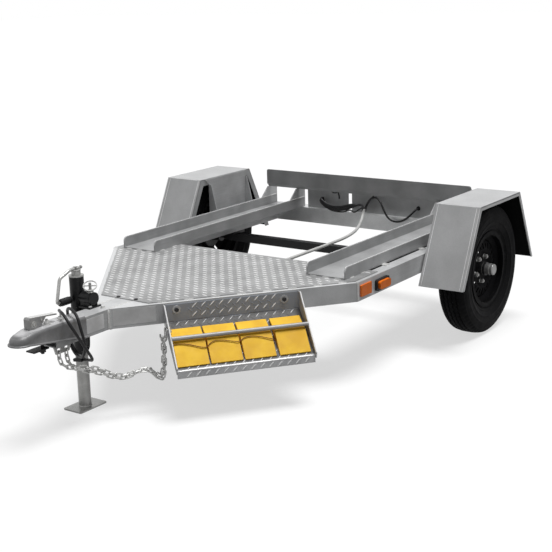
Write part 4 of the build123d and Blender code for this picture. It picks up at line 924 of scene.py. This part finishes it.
# ---- labels and bolts
def labels():
    """Blank plates in the places of the printed labels."""
    bm = bmesh.new()
    block(bm, (158, 60, 0.6), axes(face_spot(869, 0.2, 363), TUBE_ALONG, TUBE_OUT), 0.2)
    block(bm, (88, 54, 0.6), axes(spot(1667, 38.3, 361.5), FORWARD, LEFT), 0.2)
    make("blank_labels", bm, "label")


def frame_bolts():
    """The rack's bolts on their washers, the deck's dark ones and the plated ones."""
    washers, heads, black, bright = bmesh.new(), bmesh.new(), bmesh.new(), bmesh.new()
    for x, y in ((1462, -36), (1457, 47)):
        bolt(black, spot(x, y, 401.4), UP, 13, 4, washer=False)
    for along, up in RACK_BOLTS:
        place = face_spot(along, RACK_SHEET, up)
        lathe(washers, [(0, -0.5), (16.5, -0.5), (16.5, 1.2), (15.5, 2), (0, 2)],
              pose(place, TUBE_OUT))
        bolt(heads, place + TUBE_OUT.normalized() * 0.002, TUBE_OUT, 15, 6, washer=False)
    make("rack_washers", washers, "lever")
    make("rack_bolts", heads, "galvanised")
    make("deck_bolts", black, "black")
    bolt(bright, spot(1592, 8, FRAME_TOP), UP, 13, 6)
    for x in (1585, 1627):
        bolt(bright, spot(x, -22, FRAME_TOP + 6), UP, 10, 5, washer=False)
    low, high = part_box("licence_plate")
    middle = (low[1] + high[1]) / 2
    for left in (middle + 0.089, middle - 0.089):
        for up in (low[2] + 0.02, high[2] - 0.02):
            bolt(bright, Vector((low[0], left, up)), -FORWARD, 10, 4, washer=False)
    make("bright_bolts", bright, "bright")


labels()
frame_bolts()


# ---- jack
JACK_X, JACK_Y = 1606, -104
ROD_HEIGHT, GRIP_HEIGHT = 535.6, 425.6
CRANK_BEND = 11


def crank_arm():
    """The bent rod from the cap's top down to the grip, rounded at its bends."""
    corners = [spot(x, JACK_Y, z) for x, z in (
        (JACK_X - 25, ROD_HEIGHT), (JACK_X + 30, ROD_HEIGHT), (JACK_X + 84, ROD_HEIGHT - 21),
        (JACK_X + 105, GRIP_HEIGHT), (JACK_X + 84, GRIP_HEIGHT),
    )]
    places = [corners[0]]
    for before, corner, after in zip(corners, corners[1:], corners[2:]):
        start, end = (corner + (other - corner).normalized() * (CRANK_BEND / 1000)
                      for other in (before, after))
        for step in range(7):
            share = step / 6
            places.append(start.lerp(corner, share).lerp(corner.lerp(end, share), share))
    bm = bmesh.new()
    tube(bm, [*places, corners[-1]], 6, 14)
    piece = make("crank_arm", bm, "chain", "jack_outer")
    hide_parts("jack_crank")


def jack_fittings():
    """The cap's collar and crank saddle, the grip's ribs, the pin's collar and the leg's weld."""
    post = pose(spot(JACK_X, JACK_Y, 0), UP)
    bm = bmesh.new()
    lathe(bm, [(16.8, 527.5), (18.5, 528.5), (18.8, 530.5), (17.5, 532.5), (0, 533.5)], post, 30)
    block(bm, (18, 16, 14), pose(spot(JACK_X, JACK_Y, ROD_HEIGHT), UP), 3)
    lathe(bm, [(5, -1), (6.2, 0), (6.2, 4), (4.5, 6.5), (0, 7.5)],
          pose(spot(1582, JACK_Y, ROD_HEIGHT), -FORWARD), 16)
    for side in (1, -1):
        bolt(bm, spot(JACK_X, JACK_Y + 8 * side, ROD_HEIGHT), LEFT * side, 10, 4, washer=False)
    make("jack_cap_fittings", bm, "zinc", "jack_outer")
    bm = bmesh.new()
    profile = [(0, 0.2), (9, 0.2), (12.2, 2), (13.5, 5)]
    for rib in range(6):
        start = 6 + 6.8 * rib
        profile += [(13.5, start), (14.2, start + 1.4), (14.2, start + 3.4), (13.2, start + 5)]
    profile += [(13.5, 47), (12.2, 50), (9, 51.8), (0, 51.8)]
    lathe(bm, profile, axes(spot(1645, JACK_Y, GRIP_HEIGHT), UP, FORWARD), 28)
    make("jack_grip_ribs", bm, "plastic", "jack_outer")
    bm = bmesh.new()
    lathe(bm, [(9.8, 452), (12.2, 453), (12.5, 455.5), (10.8, 457.5), (10.8, 458.5), (12.5, 460.5),
               (12.2, 463), (10.5, 464.2), (5, 464.5)], pose(spot(JACK_X, -37, 0), UP))
    make("pin_collar", bm, "zinc")
    bm = bmesh.new()
    turns = [math.radians(45 * step) for step in range(9)]
    lathe(bm, [(23.5 + 2.2 * math.cos(t), 6.2 + 2.6 * math.sin(t)) for t in turns], post, 36)
    make("jack_foot_weld", bm, "weld", "jack_inner")


crank_arm()
jack_fittings()


# ---- wires and grommets
def loose_wires():
    """Strands beside the right loom, a wire up behind the beam, and two wire ends."""
    bm = bmesh.new()
    wires = [
        (3.5, [(-300, -16, 436), (-306, -40, 424), (-306, -74, 404), (-309, -103, 411),
               (-311, -140, 399), (-312, -180, 396), (-314, -225, 402), (-320, -255, 420),
               (-334, -272, 436), (-347, -276, 442)]),
        *((radius, [(-318, -74, 437), (-314, -94, 430 + rise / 2), (-311, -116, 416 + rise),
                    (-309, -158, 405 + rise), (-309, -204, 403 + rise), (-308, -242, 413 + rise),
                    (-309, -266, 429 + rise), (-318, -279, 446 + rise / 2), (-333, -284, 450),
                    (-347, -284, 450)])
          for rise, radius in ((9.5, 5), (19, 4.5))),
        (3.5, [(-301, -8, 436), (-300, 6, 455), (-296, 24, 476), (-292, 38, 490), (-290, 48, 503)]),
        (4.2, [(-288, -156, 502), (-285, -152, 492), (-285, -149, 480), (-287, -150, 468)]),
        (3, [(-288, -196, 502), (-286, -184, 497), (-287, -170, 497), (-289, -160, 502)]),
    ]
    for radius, places in wires:
        tube(bm, smooth_points([spot(*place) for place in places]), radius)
    make("loose_wires", bm, "jacket")


def grommets():
    """Rubber rings where the looms pass the lamp plates."""
    bm = bmesh.new()
    for left, up in ((263, 446), (-289, 448)):
        lathe(bm, [(5.2, 0), (5.2, 3), (7.5, 4.2), (10, 3), (10.5, 0), (5.2, 0)],
              pose(spot(-347, left, up), FORWARD))
    make("loom_grommets", bm, "rubber")


loose_wires()
grommets()


# ---- fenders
FENDER_TOP, FENDER_FOOT, FENDER_TOP_HALF, FENDER_FOOT_HALF = 600, 272.5, 201, 361
FENDER_INNER, FENDER_OUTER, FENDER_SHEET = 640, 847, 3
INNER_LIP, OUTER_LIP = 30, 15


def arch(inset):
    """The fender's side outline moved inwards, from its front foot to its rear foot."""
    slope = (FENDER_FOOT_HALF - FENDER_TOP_HALF) / (FENDER_TOP - FENDER_FOOT)
    lean = inset * math.hypot(1, slope)
    foot, top = FENDER_FOOT_HALF - lean, FENDER_TOP_HALF - lean + slope * inset
    front = [(foot, FENDER_FOOT), (top, FENDER_TOP - inset)]
    return [*front, *((-x, z) for x, z in reversed(front))]


def prism(bm, outline, first, last, edge):
    """An outline of (forward, up) drawn out between two places left, with soft edges."""
    near, far = ([bm.verts.new(spot(x, left, z)) for x, z in outline] for left in (first, last))
    skin(bm, [near, far])
    bm.faces.new(near)
    bm.faces.new(far[::-1])
    if edge:
        soften(bm, [*near, *far], edge, 3)


def make_fender(side, sign):
    """The fender's folded sheet with soft edges, painted highlights along its creases, and a dark
    sheet inside it as painted shade.
    """
    bm = bmesh.new()
    for depth, low, high in (
        (FENDER_SHEET, FENDER_INNER, FENDER_OUTER),
        (INNER_LIP, FENDER_INNER, FENDER_INNER + FENDER_SHEET),
        (OUTER_LIP, FENDER_OUTER - FENDER_SHEET, FENDER_OUTER),
    ):
        prism(bm, [*arch(0), *reversed(arch(depth))], sign * low, sign * high, 1.2)
    piece = make("fender_" + side + "_sheet", bm, "fender")
    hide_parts("fender_" + side)
    bm = bmesh.new()
    # Painted highlights: near-white strips along the creases and the top folds
    for left in (FENDER_INNER + 12, FENDER_OUTER - 17, FENDER_OUTER - 3):
        foot, top = (spot(x, sign * left, z) for x, z in arch(0)[:2])
        bar(bm, foot.lerp(top, 0.012), foot.lerp(top, 0.985), 12, 1.4)
    for fold in (1, -1):
        near, far = (spot(fold * (FENDER_TOP_HALF - 0.4), sign * left, FENDER_TOP - 1.7)
                     for left in (FENDER_INNER + 2, FENDER_OUTER - 2))
        bar(bm, near, far, 6, 1.5)
    make("fender_" + side + "_crease_highlights", bm, "edge")
    # Painted shade: a near-black sheet just inside the fender
    bm = bmesh.new()
    prism(bm, [*arch(FENDER_SHEET + 0.2), *reversed(arch(FENDER_SHEET + 0.9))],
          sign * (FENDER_INNER + 3.5), sign * (FENDER_OUTER - 3.5), 0)
    make("fender_" + side + "_undercoat", bm, "painted_shade_sheet")


for side, sign in SIDES.items():
    make_fender(side, sign)


# ---- channels and rack edges
FLANGE_TOP, FLANGE_CORNER, CHANNEL_BEND = 449.2, 15.8, 820


def channel_trim():
    """Painted highlights along the edges of the channels and the rack, the channels' tabs, and
    painted shadow at their feet.
    """
    painted_highlight, rack, tabs, painted_shadow = bmesh.new(), bmesh.new(), bmesh.new(), bmesh.new()
    for side in (1, -1):
        # Painted highlights: near-white tubes along the flanges' tops and bends
        for left in (398 * side, 574.5 * side):
            places = [spot(x, left, FLANGE_TOP) for x in range(-340, CHANNEL_BEND, 58)]
            for turn in (math.radians(15 * step) for step in range(7)):
                places.append(spot(CHANNEL_BEND + FLANGE_CORNER * math.sin(turn), left,
                                   FLANGE_TOP - FLANGE_CORNER * (1 - math.cos(turn))))
            tube(painted_highlight, [*places, spot(CHANNEL_BEND + FLANGE_CORNER, left, 402)], 2.7)
        for x in (540, 224, -60):
            block(tabs, (36, 26, 3), pose(spot(x, 583 * side, 399.8), UP), 0.8)
            bead(tabs, spot(x - 15, 577.5 * side, 401.6), spot(x + 15, 577.5 * side, 401.6), 2.4)
        # Painted shadow: near-black strips on the rails along the channels' feet
        for start, end in ((-200, -80), (-40, 204), (244, 520), (560, 655)):
            block(painted_shadow, (end - start, 6.5, 1.6),
                  pose(spot((start + end) / 2, 580 * side, 399.1), UP), 0.5)
    make("channel_edges", painted_highlight, "edge")
    # Painted highlights: near-white tubes along the rack's end folds and its lip
    for along in (RACK_START - 2, RACK_END + 2):
        tube(rack, [face_spot(along, out, up) for out, up in (
            (3, RACK_TOP - 1), (15.5, RACK_TOP - 1), (39.3, RACK_TOP - 27),
            (RACK_DEPTH + 11.5, RACK_TIP + 14), (RACK_DEPTH + 12, RACK_TIP + 7),
            (RACK_DEPTH + 5, RACK_TIP - 6),
        )], 2.8)
    tube(rack, [face_spot(along, RACK_DEPTH + 0.4, RACK_TIP + 0.8)
                for along in range(RACK_START + 4, RACK_END, 30)], 3.6, 10)
    make("rack_edges", rack, "edge")
    make("channel_tabs", tabs, "weld")
    make("channel_painted_shadow", painted_shadow, "painted_shade_sheet")


channel_trim()


# ---- studio
SKY_LIGHT = 0.17
SUN_STRENGTH = 2.9
SUN_SPREAD = math.radians(30)
SUN_FROM = Vector((-0.10, 0.16, 0.97))
WHITE = (1, 1, 1, 1)
FLOOR_BOUNCED, FLOOR_LIT, FLOOR_GLOW = (0.16, 0.16, 0.16, 1), (0.38, 0.38, 0.38, 1), 0.62


def make_stage():
    """A plain white floor that keeps the object's shadow and bounces less light than it shows."""
    shader = Shader("floor")
    plain = shader.node("BsdfDiffuse", FLOOR_BOUNCED).outputs[0]
    lit = shader.node("BsdfDiffuse", FLOOR_LIT).outputs[0]
    glow = shader.node("Emission", WHITE, FLOOR_GLOW).outputs[0]
    shown = shader.node("AddShader", lit, glow).outputs[0]
    choice = shader.node("MixShader", shader.seen_directly(), plain, shown).outputs[0]
    shader.put(choice, shader.tree.nodes["Material Output"].inputs["Surface"])
    bpy.ops.mesh.primitive_plane_add(size=80, location=(0, 0, -0.0005))
    floor = bpy.context.object
    floor.name = "floor"
    floor.data.materials.append(shader.material)


def make_world():
    """A sky that looks white and gives the object less light than that."""
    world = bpy.data.worlds.new("studio")
    bpy.context.scene.world = world
    world.use_nodes = True
    nodes = Nodes(world.node_tree)
    background = nodes.tree.nodes["Background"]
    strength = nodes.spread(nodes.seen_directly(), 0, 1, SKY_LIGHT, 1)
    nodes.put(strength, background.inputs["Strength"])
    nodes.put(WHITE, background.inputs["Color"])


def make_sun():
    data = bpy.data.lights.new("soft_sun", "SUN")
    data.energy = SUN_STRENGTH
    data.angle = SUN_SPREAD
    sun = link("soft_sun", data)
    sun.rotation_mode = "QUATERNION"
    sun.rotation_quaternion = (-SUN_FROM).to_track_quat("-Z", "Y")


make_stage()
make_world()
make_sun()
